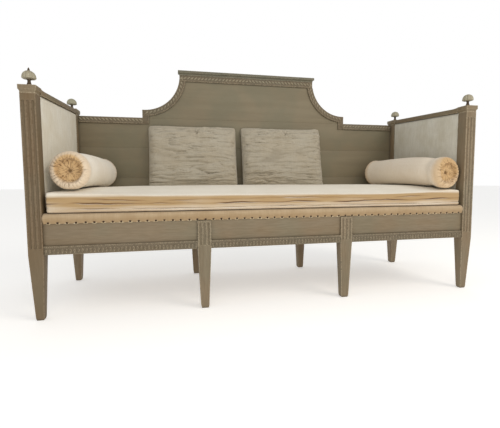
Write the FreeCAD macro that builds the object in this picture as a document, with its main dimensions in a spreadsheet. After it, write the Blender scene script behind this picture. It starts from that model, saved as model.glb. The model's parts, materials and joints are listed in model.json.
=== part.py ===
import FreeCAD, Part
import math
import os
import Sketcher

# High-sided painted sofa with a raised, shouldered crest: frame, upholstery and loose cushions.
# Origin on the floor under the middle of the sofa, +X to the right as seen from the front, +Y to the back,
# +Z up.
# All sizes are in millimetres and degrees.

Vector = FreeCAD.Vector
SIDES = {"left": -1, "right": 1}

# Driving dimensions, kept in the spreadsheet
SIZES = {
    # Overall frame
    "width": 1900.0,
    "depth": 640.0,
    "leg_height": 248.0,
    "seat_rail_height": 130.0,
    "arm_height": 861.0,
    "back_height": 859.0,
    # Corner posts
    "post_side": 51.0,
    "rear_post_depth": 68.0,
    "foot_side": 28.0,
    "rear_foot_depth": 36.0,
    "cap_slab": 16.0,
    "cap_cove": 12.0,
    "cap_overhang": 4.0,
    # Flutes of the front posts and middle legs
    "flute_radius": 5.0,
    "flute_depth": 4.0,
    "flute_pitch": 16.0,
    "flute_count": 3,
    "flute_foot_gap": 22.0,
    "flute_head_gap": 22.0,
    "middle_flute_foot_gap": 10.0,
    # Turned finials
    "finial_radius": 24.0,
    "finial_height": 58.0,
    "finial_neck": 5.5,
    "finial_foot": 11.5,
    "finial_spigot": 6.0,
    "spigot_length": 20.0,
    "finial_lobes": 10,
    "finial_valley": 21.0,
    "bud_height": 9.0,
    # Seat rails and their joints
    "front_rail_thickness": 28.0,
    "front_rail_recess": 8.0,
    "side_rail_thickness": 40.0,
    "side_rail_recess": 8.0,
    "rear_rail_thickness": 43.0,
    "tenon_thickness": 10.0,
    "tenon_length": 20.0,
    "tenon_shoulder": 15.0,
    # Middle legs
    "middle_leg_offset": 309.0,
    "middle_leg_width": 53.5,
    "middle_leg_depth": 46.0,
    "middle_leg_recess": 2.0,
    "middle_foot": 32.0,
    "lap_thickness": 18.0,
    "stub_length": 8.0,
    # Cross bearers and corner blocks
    "bearer_width": 30.0,
    "bearer_height": 70.0,
    "bearer_drop": 38.0,
    "block_reach": 70.0,
    "block_height": 40.0,
    # Arms
    "arm_rail_thickness": 21.0,
    "arm_rail_overhang": 4.0,
    "arm_rail_drop": 4.0,
    "arm_sweep_length": 40.0,
    "arm_sweep_radius": 210.0,
    "arm_rail_round": 4.0,
    "arm_tenon": 8.0,
    "lower_rail_height": 40.0,
    "lower_rail_thickness": 25.0,
    "arm_pad_recess": 0.5,
    "arm_pad_thickness": 12.0,
    "arm_pad_round": 5.0,
    "soft_gap": 0.3,
    # Back boards
    "board_thickness": 18.0,
    "board_setback": 7.0,
    "board_housing": 10.0,
    "lower_board_height": 162.0,
    "middle_board_height": 160.0,
    "tongue": 6.0,
    "fit_gap": 0.15,
    # Raised crest
    "crest_half": 381.0,
    "shoulder_radius": 190.0,
    "shoulder_straight": 1.0,
    "ear_flat": 9.0,
    "ear_step": 42.0,
    "crest_cap_slab": 12.0,
    "crest_cap_cove": 11.0,
    "crest_cap_overhang": 8.0,
    # Carved bands
    "band_width": 33.0,
    "band_thickness": 4.0,
    "bead_width": 6.0,
    "bead_thickness": 6.0,
    # Battens behind the boards
    "batten_width": 60.0,
    "batten_thickness": 12.0,
    "batten_drop": 32.0,
    # Webbing and seat deck
    "strap_thickness": 1.5,
    "strap_width": 60.0,
    "cross_straps": 12,
    "long_straps": 4,
    "strap_margin": 2.0,
    "deck_thickness": 22.0,
    "deck_roll": 16.0,
    "deck_lip_drop": 17.0,
    "deck_lip_face": 3.0,
    "deck_side_gap": 0.6,
    # Mattress
    "mattress_end_gap": 12.0,
    "mattress_rear_gap": 11.0,
    "mattress_front": 4.0,
    "mattress_edge": 62.0,
    "mattress_crown": 36.0,
    "mattress_end_crown": 0.76,
    "mattress_corner_lift": 6.0,
    "mattress_fold": 5.0,
    "lower_roll": 18.0,
    "fold_height": 14.0,
    # Back cushions
    "cushion_width": 450.0,
    "cushion_height": 330.0,
    "cushion_front": 62.0,
    "cushion_rear": 34.0,
    "cushion_edge": 8.0,
    "cushion_draw": 7.0,
    "cushion_tilt": 12.0,
    "cushion_top_gap": 2.0,
    "left_cushion_x": -315.0,
    "cushion_gap": 51.0,
    # Bolsters
    "bolster_radius": 74.0,
    "bolster_shoulder": 26.0,
    "bolster_hollow": 16.0,
    "bolster_knot": 9.0,
    "bolster_front_inset": 28.0,
    "bolster_rear_inset": 26.0,
    "left_bolster_gap": 28.5,
    "right_bolster_gap": 37.0,
    "left_bolster_turn": 2.8,
    "right_bolster_turn": 7.5,
    "right_bolster_advance": 26.0,
    "bolster_gap": 0.9,
}

# Places and sizes that follow from the driving dimensions, in order
PLACES = {
    "front_y": "-Sizes.depth / 2",
    "back_y": "Sizes.depth / 2",
    "post_x": "(Sizes.width - Sizes.post_side) / 2",
    "inner_x": "Sizes.width / 2 - Sizes.post_side",
    "front_post_y": "Places.front_y + Sizes.post_side / 2",
    "rear_post_y": "Places.back_y - Sizes.rear_post_depth / 2",
    "arm_front_y": "Places.front_y + Sizes.post_side",
    "arm_back_y": "Places.back_y - Sizes.rear_post_depth",
    "rail_top": "Sizes.leg_height + Sizes.seat_rail_height",
    "cap_height": "Sizes.cap_slab + Sizes.cap_cove",
    "front_post_top": "Sizes.arm_height - Places.cap_height",
    "rear_cap_top": "Sizes.back_height + Places.cap_height",
    "rail_front_y": "Places.front_y + Sizes.front_rail_recess",
    "rail_inner_y": "Places.rail_front_y + Sizes.front_rail_thickness",
    "board_front_y": "Places.back_y - Sizes.board_setback - Sizes.board_thickness",
    "board_back_y": "Places.back_y - Sizes.board_setback",
    "rear_rail_y": "Places.board_back_y - Sizes.rear_rail_thickness",
    "side_rail_outer_x": "Sizes.width / 2 - Sizes.side_rail_recess",
    "side_rail_inner_x": "Places.side_rail_outer_x - Sizes.side_rail_thickness",
    "side_rail_top": "Places.rail_top - Sizes.strap_thickness",
    "tenon_bottom": "Sizes.leg_height + Sizes.tenon_shoulder",
    "tenon_height": "Sizes.seat_rail_height - 2 * Sizes.tenon_shoulder",
    "front_tenon_y": "Places.rail_front_y + (Sizes.front_rail_thickness - Sizes.tenon_thickness) / 2",
    "rear_tenon_y": "Places.rear_rail_y + (Sizes.rear_rail_thickness - Sizes.tenon_thickness) / 2",
    "side_tenon_x": "Places.side_rail_inner_x + (Sizes.side_rail_thickness - Sizes.tenon_thickness) / 2",
    "deck_bottom": "Places.rail_top + Sizes.strap_thickness + Sizes.soft_gap",
    "deck_top": "Places.deck_bottom + Sizes.deck_thickness",
    "lip_bottom": "Places.rail_top - Sizes.deck_lip_drop",
    "middle_leg_y": "Places.front_y + Sizes.middle_leg_recess",
    "middle_leg_top": "Places.lip_bottom - Sizes.soft_gap",
    "bearer_top": "Places.rail_top - Sizes.bearer_drop",
    "arm_rail_front_top": "Sizes.arm_height - Sizes.arm_rail_drop",
    "arm_rail_rear_top": "Places.rear_cap_top - Sizes.arm_rail_drop",
    "lower_rail_top": "Places.side_rail_top + Sizes.lower_rail_height",
    "lower_rail_x": "Places.side_rail_outer_x - Sizes.lower_rail_thickness",
    "pad_x": "Places.inner_x + Sizes.arm_pad_recess",
    "core_x": "Places.pad_x + Sizes.arm_pad_thickness + Sizes.soft_gap",
    "outer_pad_x": "Sizes.width / 2 - Sizes.arm_pad_recess - Sizes.arm_pad_thickness",
    "core_thickness": "Places.outer_pad_x - Sizes.soft_gap - Places.core_x",
    "board_half": "Places.inner_x + Sizes.board_housing",
    "ear_top": "Sizes.back_height + Sizes.ear_step",
    "shoulder_x": "Sizes.crest_half + Sizes.shoulder_radius",
    "shoulder_z": "Places.ear_top + Sizes.shoulder_radius",
    "ear_half": "Places.shoulder_x + Sizes.ear_flat",
    "crest_top": "Places.shoulder_z + Sizes.shoulder_straight",
    "crest_band_z": "Places.crest_top - Sizes.band_width",
    "rail_band_z": "Sizes.back_height - Sizes.band_width",
    "upper_board_z": "Places.rail_top + Sizes.lower_board_height + Sizes.middle_board_height",
    "mattress_bottom": "Places.deck_top + Sizes.soft_gap",
    "mattress_front_y": "Places.front_y + Sizes.mattress_front",
    "mattress_depth": "Places.board_front_y - Sizes.mattress_rear_gap - Places.mattress_front_y",
    "mattress_length": "2 * (Places.inner_x - Sizes.mattress_end_gap)",
    "mattress_end_edge": "Places.mattress_bottom + Sizes.mattress_edge + Sizes.mattress_corner_lift / 2",
    "mattress_end_top": "Places.mattress_end_edge + Sizes.mattress_end_crown * Sizes.mattress_crown",
    "bolster_z": "Places.mattress_end_top + Sizes.bolster_gap + Sizes.bolster_radius",
    "bolster_length": "Places.mattress_depth - Sizes.bolster_front_inset - Sizes.bolster_rear_inset",
    "bolster_y": "Places.mattress_front_y + Sizes.bolster_front_inset + Places.bolster_length / 2",
    "right_bolster_y": "Places.bolster_y - Sizes.right_bolster_advance",
    "right_cushion_x": "Sizes.left_cushion_x + Sizes.cushion_width + Sizes.cushion_gap",
}

doc = FreeCAD.newDocument("HighSidedSofa")
sheet = doc.addObject("Spreadsheet::Sheet", "Sizes")
for row, (alias, size) in enumerate(SIZES.items(), start=1):
    sheet.set("A%d" % row, alias)
    sheet.set("B%d" % row, str(size))
    sheet.setAlias("B%d" % row, alias)
doc.recompute()

places = doc.addObject("App::VarSet", "Places")
for name, formula in PLACES.items():
    places.addProperty("App::PropertyFloat", name)
    places.setExpression(name, formula)
    doc.recompute()


def number(formula):
    """Value in millimetres of a formula over the sheet's sizes and the places."""
    return float(places.evalExpression(str(formula)))


def bind(item, path, formula):
    """Bind one property of an object to a formula."""
    item.setExpression(path, str(formula))


def arc_geometry(start, end, radius, turn):
    """Arc of under a half circle; turn is 1 when it runs counter-clockwise, -1 when clockwise."""
    chord = end - start
    rise = math.sqrt(radius ** 2 - (chord.Length / 2) ** 2)
    left = Vector(-chord.y, chord.x, 0).normalize()
    centre = (start + end) * 0.5 + left * rise * turn
    first, last = (start, end) if turn > 0 else (end, start)
    start_angle = math.atan2(first.y - centre.y, first.x - centre.x)
    end_angle = math.atan2(last.y - centre.y, last.x - centre.x)
    circle = Part.Circle(centre, Vector(0, 0, 1), radius)
    return Part.ArcOfCircle(circle, start_angle, end_angle)


class Piece:
    """A body whose sketches lie on its own origin planes and take their sizes from formulas."""

    def __init__(self, label, place=("0", "0", "0")):
        self.label = label
        self.body = doc.addObject("PartDesign::Body", label)
        self.body.Label = label
        self.count = 0
        for axis, formula in zip("xyz", place):
            bind(self.body, "Placement.Base." + axis, formula)

    def origin(self, role):
        """Plane or axis of the body's own origin, such as XY_Plane or Z_Axis."""
        return next(item for item in self.body.Origin.OriginFeatures if item.Role == role)

    def feature(self, kind, name):
        """New feature of the body, named after the piece."""
        self.count += 1
        return self.body.newObject(kind, "%s_%s_%d" % (self.label, name, self.count))

    def sketch(self, plane, outline, level="0", shift=("0", "0")):
        """Closed outline of (x, y) or (x, y, radius, turn) corners; an arc runs to the next corner."""
        sketch = self.feature("Sketcher::SketchObject", "outline")
        sketch.AttachmentSupport = [(self.origin(plane + "_Plane"), "")]
        sketch.MapMode = "FlatFace"
        normal = "-" if plane == "XZ" else ""
        for axis, formula in zip("xyz", (shift[0], shift[1], "%s(%s)" % (normal, level))):
            bind(sketch, "AttachmentOffset.Base." + axis, formula)
        points = [Vector(number(corner[0]), number(corner[1]), 0) for corner in outline]
        ends = []
        for index, corner in enumerate(outline):
            start = points[index]
            end = points[(index + 1) % len(points)]
            if len(corner) == 2:
                ends.append((sketch.addGeometry(Part.LineSegment(start, end)), 1, 2))
                continue
            radius, turn = corner[2:]
            edge = sketch.addGeometry(arc_geometry(start, end, number(radius), turn))
            ends.append((edge, 1, 2) if turn > 0 else (edge, 2, 1))
            constraint = sketch.addConstraint(Sketcher.Constraint("Radius", edge, number(radius)))
            bind(sketch, "Constraints[%d]" % constraint, radius)
        for index, corner in enumerate(outline):
            edge, start, _ = ends[index]
            before, _, end = ends[index - 1]
            sketch.addConstraint(Sketcher.Constraint("Coincident", before, end, edge, start))
            for kind, formula, value in zip(("DistanceX", "DistanceY"), corner[:2], points[index]):
                constraint = sketch.addConstraint(Sketcher.Constraint(kind, -1, 1, edge, start, value))
                bind(sketch, "Constraints[%d]" % constraint, formula)
        return sketch

    def pad(self, plane, outline, start, length):
        """Solid from the outline, running from start along the plane's positive axis."""
        sketch = self.sketch(plane, outline, start)
        pad = self.feature("PartDesign::Pad", "pad")
        pad.Profile = sketch
        pad.Reversed = plane == "XZ"
        bind(pad, "Length", length)
        self.body.Tip = pad
        return pad

    def pocket(self, plane, outline, start, length):
        """Cut of the outline, running from start along the plane's positive axis."""
        before = self.volume()
        sketch = self.sketch(plane, outline, start)
        pocket = self.feature("PartDesign::Pocket", "pocket")
        pocket.Profile = sketch
        pocket.Reversed = plane != "XZ"
        bind(pocket, "Length", length)
        self.body.Tip = pocket
        self.must_cut(before)
        return pocket

    def tapered_leg(self, foot, top):
        """Tapered leg from the floor to the seat rail; foot and top hold low x, low y, high x and high y."""
        leg = self.feature("PartDesign::AdditiveWedge", "leg")
        leg.Placement = FreeCAD.Placement(Vector(0, 0, 0), FreeCAD.Rotation(Vector(1, 0, 0), 90))
        bind(leg, "Ymin", "0")
        bind(leg, "Ymax", "Sizes.leg_height")
        for prefix, (low_x, low_y, high_x, high_y) in (("", foot), ("2", top)):
            bind(leg, "X%smin" % prefix, low_x)
            bind(leg, "X%smax" % prefix, high_x)
            bind(leg, "Z%smin" % prefix, "-(%s)" % high_y)
            bind(leg, "Z%smax" % prefix, "-(%s)" % low_y)
        self.body.Tip = leg

    def turn(self, outline):
        """Turned solid: the outline holds radius and height."""
        sketch = self.sketch("XZ", outline)
        turned = self.feature("PartDesign::Revolution", "turned")
        turned.Profile = sketch
        turned.ReferenceAxis = (sketch, ["V_Axis"])
        turned.Angle = 360
        self.body.Tip = turned

    def flutes(self, face_y, bottom, top):
        """Row of stopped flutes with run-out ends on a front face."""
        before = self.volume()
        radius = "Sizes.flute_radius"
        first = "-Sizes.flute_pitch * (Sizes.flute_count - 1) / 2"
        axis_y = "%s - Sizes.flute_radius + Sizes.flute_depth" % face_y
        outline = [
            ("0", bottom),
            (radius, "%s + %s" % (bottom, radius)),
            (radius, "%s - %s" % (top, radius)),
            ("0", top),
        ]
        sketch = self.sketch("XZ", outline, axis_y, (first, "0"))
        groove = self.feature("PartDesign::Groove", "flute")
        groove.Profile = sketch
        groove.ReferenceAxis = (sketch, ["V_Axis"])
        groove.Angle = 360
        self.body.Tip = groove
        row = self.feature("PartDesign::LinearPattern", "flutes")
        row.Originals = [groove]
        row.Direction = (self.origin("X_Axis"), [""])
        bind(row, "Length", "Sizes.flute_pitch * (Sizes.flute_count - 1)")
        bind(row, "Occurrences", "Sizes.flute_count")
        self.body.Tip = row
        self.must_cut(before)

    def fillet(self, radius, wanted):
        """Round the edges of the piece, as it is so far, that the test picks."""
        doc.recompute()
        base = self.body.Tip
        names = ["Edge%d" % (index + 1) for index, edge in enumerate(base.Shape.Edges) if wanted(edge)]
        fillet = self.feature("PartDesign::Fillet", "round")
        fillet.Base = (base, names)
        bind(fillet, "Radius", radius)
        self.body.Tip = fillet

    def volume(self):
        """Volume of the piece so far."""
        doc.recompute()
        return self.body.Shape.Volume

    def must_cut(self, before):
        """Stop when the last feature took nothing away."""
        if self.volume() >= before:
            raise ValueError("%s: a cut took nothing away" % self.label)


def rectangle(low_x, low_y, high_x, high_y):
    """Corners of an upright rectangle, counter-clockwise."""
    return [(low_x, low_y), (high_x, low_y), (high_x, high_y), (low_x, high_y)]


def span(size_x, size_y):
    """Low x, low y, high x and high y of a rectangle about the origin."""
    return "-(%s) / 2" % size_x, "-(%s) / 2" % size_y, "(%s) / 2" % size_x, "(%s) / 2" % size_y


def centred(size_x, size_y):
    """Rectangle about the sketch's origin."""
    return rectangle(*span(size_x, size_y))


def between(side, near, far):
    """Lower and upper X of a span given by its distances from the middle, on one side of the sofa."""
    return (near, far) if side > 0 else ("-(%s)" % far, "-(%s)" % near)


def block(label, low_x, high_x, low_y, high_y, low_z, high_z):
    """Straight piece between six faces, with its corner as its own origin."""
    piece = Piece(label, (low_x, low_y, low_z))
    outline = rectangle("0", "0", "(%s) - (%s)" % (high_x, low_x), "(%s) - (%s)" % (high_y, low_y))
    piece.pad("XY", outline, "0", "(%s) - (%s)" % (high_z, low_z))
    return piece


def mortise(piece, side, y_place, centre_y):
    """Mortise for a long rail's tenon in the inner face of a corner post."""
    low_x, high_x = between(-side, "Sizes.post_side / 2 - Sizes.tenon_length", "Sizes.post_side / 2")
    low_y = "%s - %s" % (y_place, centre_y)
    outline = rectangle(low_x, low_y, high_x, "%s + Sizes.tenon_thickness" % low_y)
    piece.pocket("XY", outline, "Places.tenon_bottom", "Places.tenon_height")


def side_mortise(piece, side, low_y):
    """Mortise for a side rail's tenon in the face of a corner post that looks along the arm."""
    low_x, high_x = between(side, "Places.side_tenon_x - Places.post_x",
                            "Places.side_tenon_x + Sizes.tenon_thickness - Places.post_x")
    outline = rectangle(low_x, low_y, high_x, "%s + Sizes.tenon_length" % low_y)
    piece.pocket("XY", outline, "Places.tenon_bottom", "Places.tenon_height")


def front_post(name, side):
    """Front corner post: tapered leg, fluted square shaft, mortises for two rails."""
    post = Piece("post_front_" + name, ("%d * Places.post_x" % side, "Places.front_post_y", "0"))
    square = span("Sizes.post_side", "Sizes.post_side")
    post.tapered_leg(span("Sizes.foot_side", "Sizes.foot_side"), square)
    post.pad("XY", rectangle(*square), "Sizes.leg_height", "Places.front_post_top - Sizes.leg_height")
    post.flutes("-Sizes.post_side / 2", "(Sizes.leg_height + Sizes.flute_foot_gap)",
                "(Places.front_post_top - Sizes.flute_head_gap)")
    mortise(post, side, "Places.front_tenon_y", "Places.front_post_y")
    side_mortise(post, side, "Sizes.post_side / 2 - Sizes.tenon_length")


def rear_post(name, side):
    """Rear corner post: plain, rebated behind for the back boards."""
    post = Piece("post_rear_" + name, ("%d * Places.post_x" % side, "Places.rear_post_y", "0"))
    section = span("Sizes.post_side", "Sizes.rear_post_depth")
    post.tapered_leg(span("Sizes.foot_side", "Sizes.rear_foot_depth"), section)
    post.pad("XY", rectangle(*section), "Sizes.leg_height", "Sizes.back_height - Sizes.leg_height")
    low_x, high_x = between(-side, "Sizes.post_side / 2 - Sizes.board_housing", "Sizes.post_side / 2")
    rebate = rectangle(low_x, "Places.board_front_y - Places.rear_post_y",
                       high_x, "Sizes.rear_post_depth / 2")
    post.pocket("XY", rebate, "Places.rail_top", "Sizes.back_height - Places.rail_top")
    mortise(post, side, "Places.rear_tenon_y", "Places.rear_post_y")
    side_mortise(post, side, "-Sizes.rear_post_depth / 2")


def moulded_block(label, place, size_x, size_y, slab, cove, overhang):
    """Slab over a cove on all four sides; size_x and size_y are those of what it stands on."""
    piece = Piece(label, place)
    wide_x = "(%s) + 2 * %s" % (size_x, overhang)
    wide_y = "(%s) + 2 * %s" % (size_y, overhang)
    piece.pad("XY", centred(wide_x, wide_y), "0", "%s + %s" % (slab, cove))
    for plane, across, along in (("XZ", size_x, wide_y), ("YZ", size_y, wide_x)):
        for side in (-1, 1):
            near = "%d * (%s) / 2" % (side, across)
            far = "%d * ((%s) / 2 + %s)" % (side, across, overhang)
            outline = [(near, "0"), (far, "0"), (far, cove, cove, side)]
            piece.pocket(plane, outline, "-(%s) / 2" % along, along)
    return piece


def post_cap(name, row, side):
    """Cap block of a corner post, with the finial's hole and the arm rail's mortise."""
    rear = row == "rear"
    depth = "Sizes.rear_post_depth" if rear else "Sizes.post_side"
    post_y = "Places.rear_post_y" if rear else "Places.front_post_y"
    bottom = "Sizes.back_height" if rear else "Places.front_post_top"
    rail_top = "Places.arm_rail_rear_top" if rear else "Places.arm_rail_front_top"
    cap = moulded_block("cap_%s_%s" % (row, name), ("%d * Places.post_x" % side, post_y, bottom),
                        "Sizes.post_side", depth, "Sizes.cap_slab", "Sizes.cap_cove", "Sizes.cap_overhang")
    hole = [("-Sizes.finial_spigot", "0", "Sizes.finial_spigot", 1),
            ("0", "-Sizes.finial_spigot", "Sizes.finial_spigot", 1),
            ("Sizes.finial_spigot", "0", "Sizes.finial_spigot", 1),
            ("0", "Sizes.finial_spigot", "Sizes.finial_spigot", 1)]
    cap.pocket("XY", hole, "Places.cap_height - Sizes.spigot_length", "Sizes.spigot_length")
    mouth = "%s / 2 + Sizes.cap_overhang" % depth
    low_y = "-(%s)" % mouth if rear else "%s - Sizes.arm_tenon" % mouth
    low_z = "%s - (Sizes.arm_rail_thickness + Sizes.arm_tenon) / 2 - (%s)" % (rail_top, bottom)
    cap.pocket("XY", [(x, "%s + %s" % (low_y, y)) for x, y in tenon_plan()], low_z, "Sizes.arm_tenon")


def tenon_plan():
    """Plan of an arm rail's stub tenon, from the mouth of its mortise."""
    return rectangle("-Sizes.tenon_thickness / 2", "0", "Sizes.tenon_thickness / 2", "Sizes.arm_tenon")


def ring(ridge, valley, level):
    """Points round a finial at one level, two to a lobe: its ridge and the valley beside it."""
    lobes = int(number("Sizes.finial_lobes"))
    points = []
    for step in range(2 * lobes):
        reach = ridge if step % 2 == 0 else valley
        angle = math.pi * step / lobes
        points.append(Vector(reach * math.cos(angle), reach * math.sin(angle), level))
    return points


def flat_face(points):
    """Flat face through a closed run of points."""
    return Part.Face(Part.makePolygon(points + points[:1]))


def finial_rings(bud):
    """Rings of a finial from the end of its spigot to its tip, where the bud stands on one of them."""
    height = number("Sizes.finial_height")
    spigot, foot, neck = (number("Sizes.finial_" + name) for name in ("spigot", "foot", "neck"))
    ridge, valley = number("Sizes.finial_radius"), number("Sizes.finial_valley")
    # Share of the head's radius and share of the height, from the underside up
    head = ((1.0, 0.43), (0.98, 0.56), (0.84, 0.74), (0.55, 0.9), (0.22, 0.97))
    # Radius and share of the height of the turned stem
    stem = ((foot, 0), (foot, 0.05), (0.65 * foot, 0.12), (neck, 0.22), (neck, 0.31), (0.6 * ridge, 0.36))
    rings = [ring(spigot, spigot, -number("Sizes.spigot_length")), ring(spigot, spigot, 0)]
    rings += [ring(reach, reach, share * height) for reach, share in stem]
    rings += [ring(share * ridge, share * valley, level * height) for share, level in head]
    tip = height + number("Sizes.bud_height") if bud else height
    rings.append(ring(0.06 * ridge, 0.06 * valley, tip))
    return rings


def finial(name, row, side, bud):
    """Finial with a turned stem and a carved, lobed head, all cut in narrow flats."""
    rings = finial_rings(bud)
    faces = [flat_face(rings[0][::-1]), flat_face(rings[-1])]
    for lower, upper in zip(rings, rings[1:]):
        for step in range(len(lower)):
            following = (step + 1) % len(lower)
            corners = [lower[step], lower[following], upper[following], upper[step]]
            if is_flat(corners):
                faces.append(flat_face(corners))
            else:
                faces += [flat_face(corners[:3]), flat_face([corners[2], corners[3], corners[0]])]
    label = "finial_%s_%s" % (row, name)
    post_y = number("Places.rear_post_y") if row == "rear" else number("Places.front_post_y")
    top = number("Places.rear_cap_top") if row == "rear" else number("Sizes.arm_height")
    feature = doc.addObject("Part::Feature", label)
    feature.Label = label
    feature.Shape = Part.makeSolid(Part.makeShell(faces))
    feature.Placement.Base = Vector(side * number("Places.post_x"), post_y, top)


def is_flat(corners):
    """True when four corners lie in one plane."""
    first, second, third, fourth = corners
    normal = (second - first).cross(third - first).normalize()
    return abs(normal.dot(fourth - first)) < number("Sizes.fit_gap") / 1000


def long_rail(label, low_y, thickness, tenon_y):
    """Seat rail between two corner posts, with a tenon at each end."""
    rail = block(label, "-Places.inner_x", "Places.inner_x", low_y, "%s + %s" % (low_y, thickness),
                 "Sizes.leg_height", "Places.rail_top")
    low = "%s - %s" % (tenon_y, low_y)
    for start in ("-Sizes.tenon_length", "2 * Places.inner_x"):
        outline = rectangle(low, "Sizes.tenon_shoulder", "%s + Sizes.tenon_thickness" % low,
                            "Sizes.tenon_shoulder + Places.tenon_height")
        rail.pad("YZ", outline, start, "Sizes.tenon_length")
    return rail


def front_seat_rail():
    """Front seat rail, notched for the middle legs in front and for the bearers behind."""
    rail = long_rail("seat_rail_front", "Places.rail_front_y", "Sizes.front_rail_thickness",
                     "Places.front_tenon_y")
    lap = "Sizes.middle_leg_recess + Sizes.lap_thickness - Sizes.front_rail_recess"
    for side in SIDES.values():
        middle = "Places.inner_x + %d * Sizes.middle_leg_offset" % side
        outline = rectangle("%s - Sizes.middle_leg_width / 2" % middle, "0",
                            "%s + Sizes.middle_leg_width / 2" % middle, lap)
        rail.pocket("XY", outline, "0", "Places.middle_leg_top - Sizes.leg_height")
        bearer_mortise(rail, middle, "Sizes.front_rail_thickness - Sizes.stub_length")


def rear_seat_rail():
    """Rear seat rail, which carries the back boards and stands on the rear middle legs."""
    rail = long_rail("seat_rail_rear", "Places.rear_rail_y", "Sizes.rear_rail_thickness",
                     "Places.rear_tenon_y")
    for side in SIDES.values():
        middle = "Places.inner_x + %d * Sizes.middle_leg_offset" % side
        bearer_mortise(rail, middle, "0")
        centre = "Sizes.rear_rail_thickness / 2"
        outline = rectangle("%s - Sizes.tenon_length / 2" % middle, "%s - Sizes.tenon_thickness / 2" % centre,
                            "%s + Sizes.tenon_length / 2" % middle, "%s + Sizes.tenon_thickness / 2" % centre)
        rail.pocket("XY", outline, "0", "Sizes.stub_length")


def bearer_mortise(rail, middle, low_y):
    """Stub mortise for a cross bearer in the inner face of a seat rail."""
    outline = rectangle("%s - Sizes.tenon_thickness / 2" % middle, low_y,
                        "%s + Sizes.tenon_thickness / 2" % middle, "%s + Sizes.stub_length" % low_y)
    low_z = "Places.bearer_top - Sizes.bearer_height - Sizes.leg_height"
    rail.pocket("XY", outline, low_z, "Sizes.bearer_height")


def cross_bearer(name, side):
    """Bearer from the front seat rail to the rear one, behind a middle leg."""
    middle = "%d * Sizes.middle_leg_offset" % side
    bearer = block("cross_bearer_" + name, "%s - Sizes.bearer_width / 2" % middle,
                   "%s + Sizes.bearer_width / 2" % middle, "Places.rail_inner_y", "Places.rear_rail_y",
                   "Places.bearer_top - Sizes.bearer_height", "Places.bearer_top")
    low_x = "(Sizes.bearer_width - Sizes.tenon_thickness) / 2"
    for start in ("-Sizes.stub_length", "Places.rear_rail_y - Places.rail_inner_y"):
        outline = rectangle(low_x, "0", "%s + Sizes.tenon_thickness" % low_x, "Sizes.bearer_height")
        bearer.pad("XZ", outline, start, "Sizes.stub_length")


def side_seat_rail(name, side):
    """Side seat rail under the arm, with a tenon into each corner post."""
    low_x, high_x = between(side, "Places.side_rail_inner_x", "Places.side_rail_outer_x")
    rail = block("seat_rail_" + name, low_x, high_x, "Places.arm_front_y", "Places.arm_back_y",
                 "Sizes.leg_height", "Places.side_rail_top")
    tenon_x = "(Sizes.side_rail_thickness - Sizes.tenon_thickness) / 2"
    for start in ("-Sizes.tenon_length", "Places.arm_back_y - Places.arm_front_y"):
        outline = rectangle(tenon_x, "Sizes.tenon_shoulder", "%s + Sizes.tenon_thickness" % tenon_x,
                            "Sizes.tenon_shoulder + Places.tenon_height")
        rail.pad("XZ", outline, start, "Sizes.tenon_length")


def front_middle_leg(name, side):
    """Fluted middle leg, lapped over the front rail and tapered below it."""
    leg = Piece("leg_front_middle_" + name,
                ("%d * Sizes.middle_leg_offset" % side, "Places.middle_leg_y", "0"))
    half, half_foot = "Sizes.middle_leg_width / 2", "Sizes.middle_foot / 2"
    inset = "(Sizes.middle_leg_depth - Sizes.middle_foot) / 2"
    foot = ("-" + half_foot, inset, half_foot, "%s + Sizes.middle_foot" % inset)
    leg.tapered_leg(foot, ("-" + half, "0", half, "Sizes.middle_leg_depth"))
    lap = rectangle("-" + half, "0", half, "Sizes.lap_thickness")
    leg.pad("XY", lap, "Sizes.leg_height", "Places.middle_leg_top - Sizes.leg_height")
    leg.flutes("0", "(Sizes.leg_height + Sizes.middle_flute_foot_gap)",
               "(Places.middle_leg_top - Sizes.flute_radius)")


def rear_middle_leg(name, side):
    """Plain tapered leg under the rear seat rail, with a stub tenon on top."""
    middle_y = "Places.rear_rail_y + Sizes.rear_rail_thickness / 2"
    leg = Piece("leg_rear_middle_" + name, ("%d * Sizes.middle_leg_offset" % side, middle_y, "0"))
    leg.tapered_leg(span("Sizes.middle_foot", "Sizes.middle_foot"),
                    span("Sizes.middle_leg_width", "Sizes.rear_rail_thickness"))
    tenon = centred("Sizes.tenon_length", "Sizes.tenon_thickness")
    leg.pad("XY", tenon, "Sizes.leg_height", "Sizes.stub_length")


def corner_block(name, row, side):
    """Block glued into a corner of the seat frame, cut round the post's corner."""
    front = row == "front"
    rail_y = "Places.rail_inner_y" if front else "Places.rear_rail_y"
    post_y = "Places.arm_front_y" if front else "Places.arm_back_y"
    away = 1 if front else -1
    inner = "%d * Places.inner_x" % side
    wall = "%d * Places.side_rail_inner_x" % side
    outline = [(inner, rail_y), (inner, post_y), (wall, post_y),
               (wall, "%s + %d * Sizes.block_reach" % (post_y, away)),
               ("%d * (Places.inner_x - Sizes.block_reach)" % side, rail_y)]
    piece = Piece("corner_block_%s_%s" % (row, name))
    piece.pad("XY", outline, "Places.bearer_top - Sizes.block_height", "Sizes.block_height")


def arm_slope(low_y, gap):
    """Height of the underside of the arm's top rail above a place along the arm."""
    rise = "(Places.arm_rail_rear_top - Places.arm_rail_front_top)"
    start = "(Places.arm_front_y + Sizes.cap_overhang)"
    run = "(Places.arm_back_y - Places.arm_front_y - 2 * Sizes.cap_overhang)"
    return ("Places.arm_rail_front_top - Sizes.arm_rail_thickness - (%s) + %s * (%s - %s) / %s"
            % (gap, rise, low_y, start, run))


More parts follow.
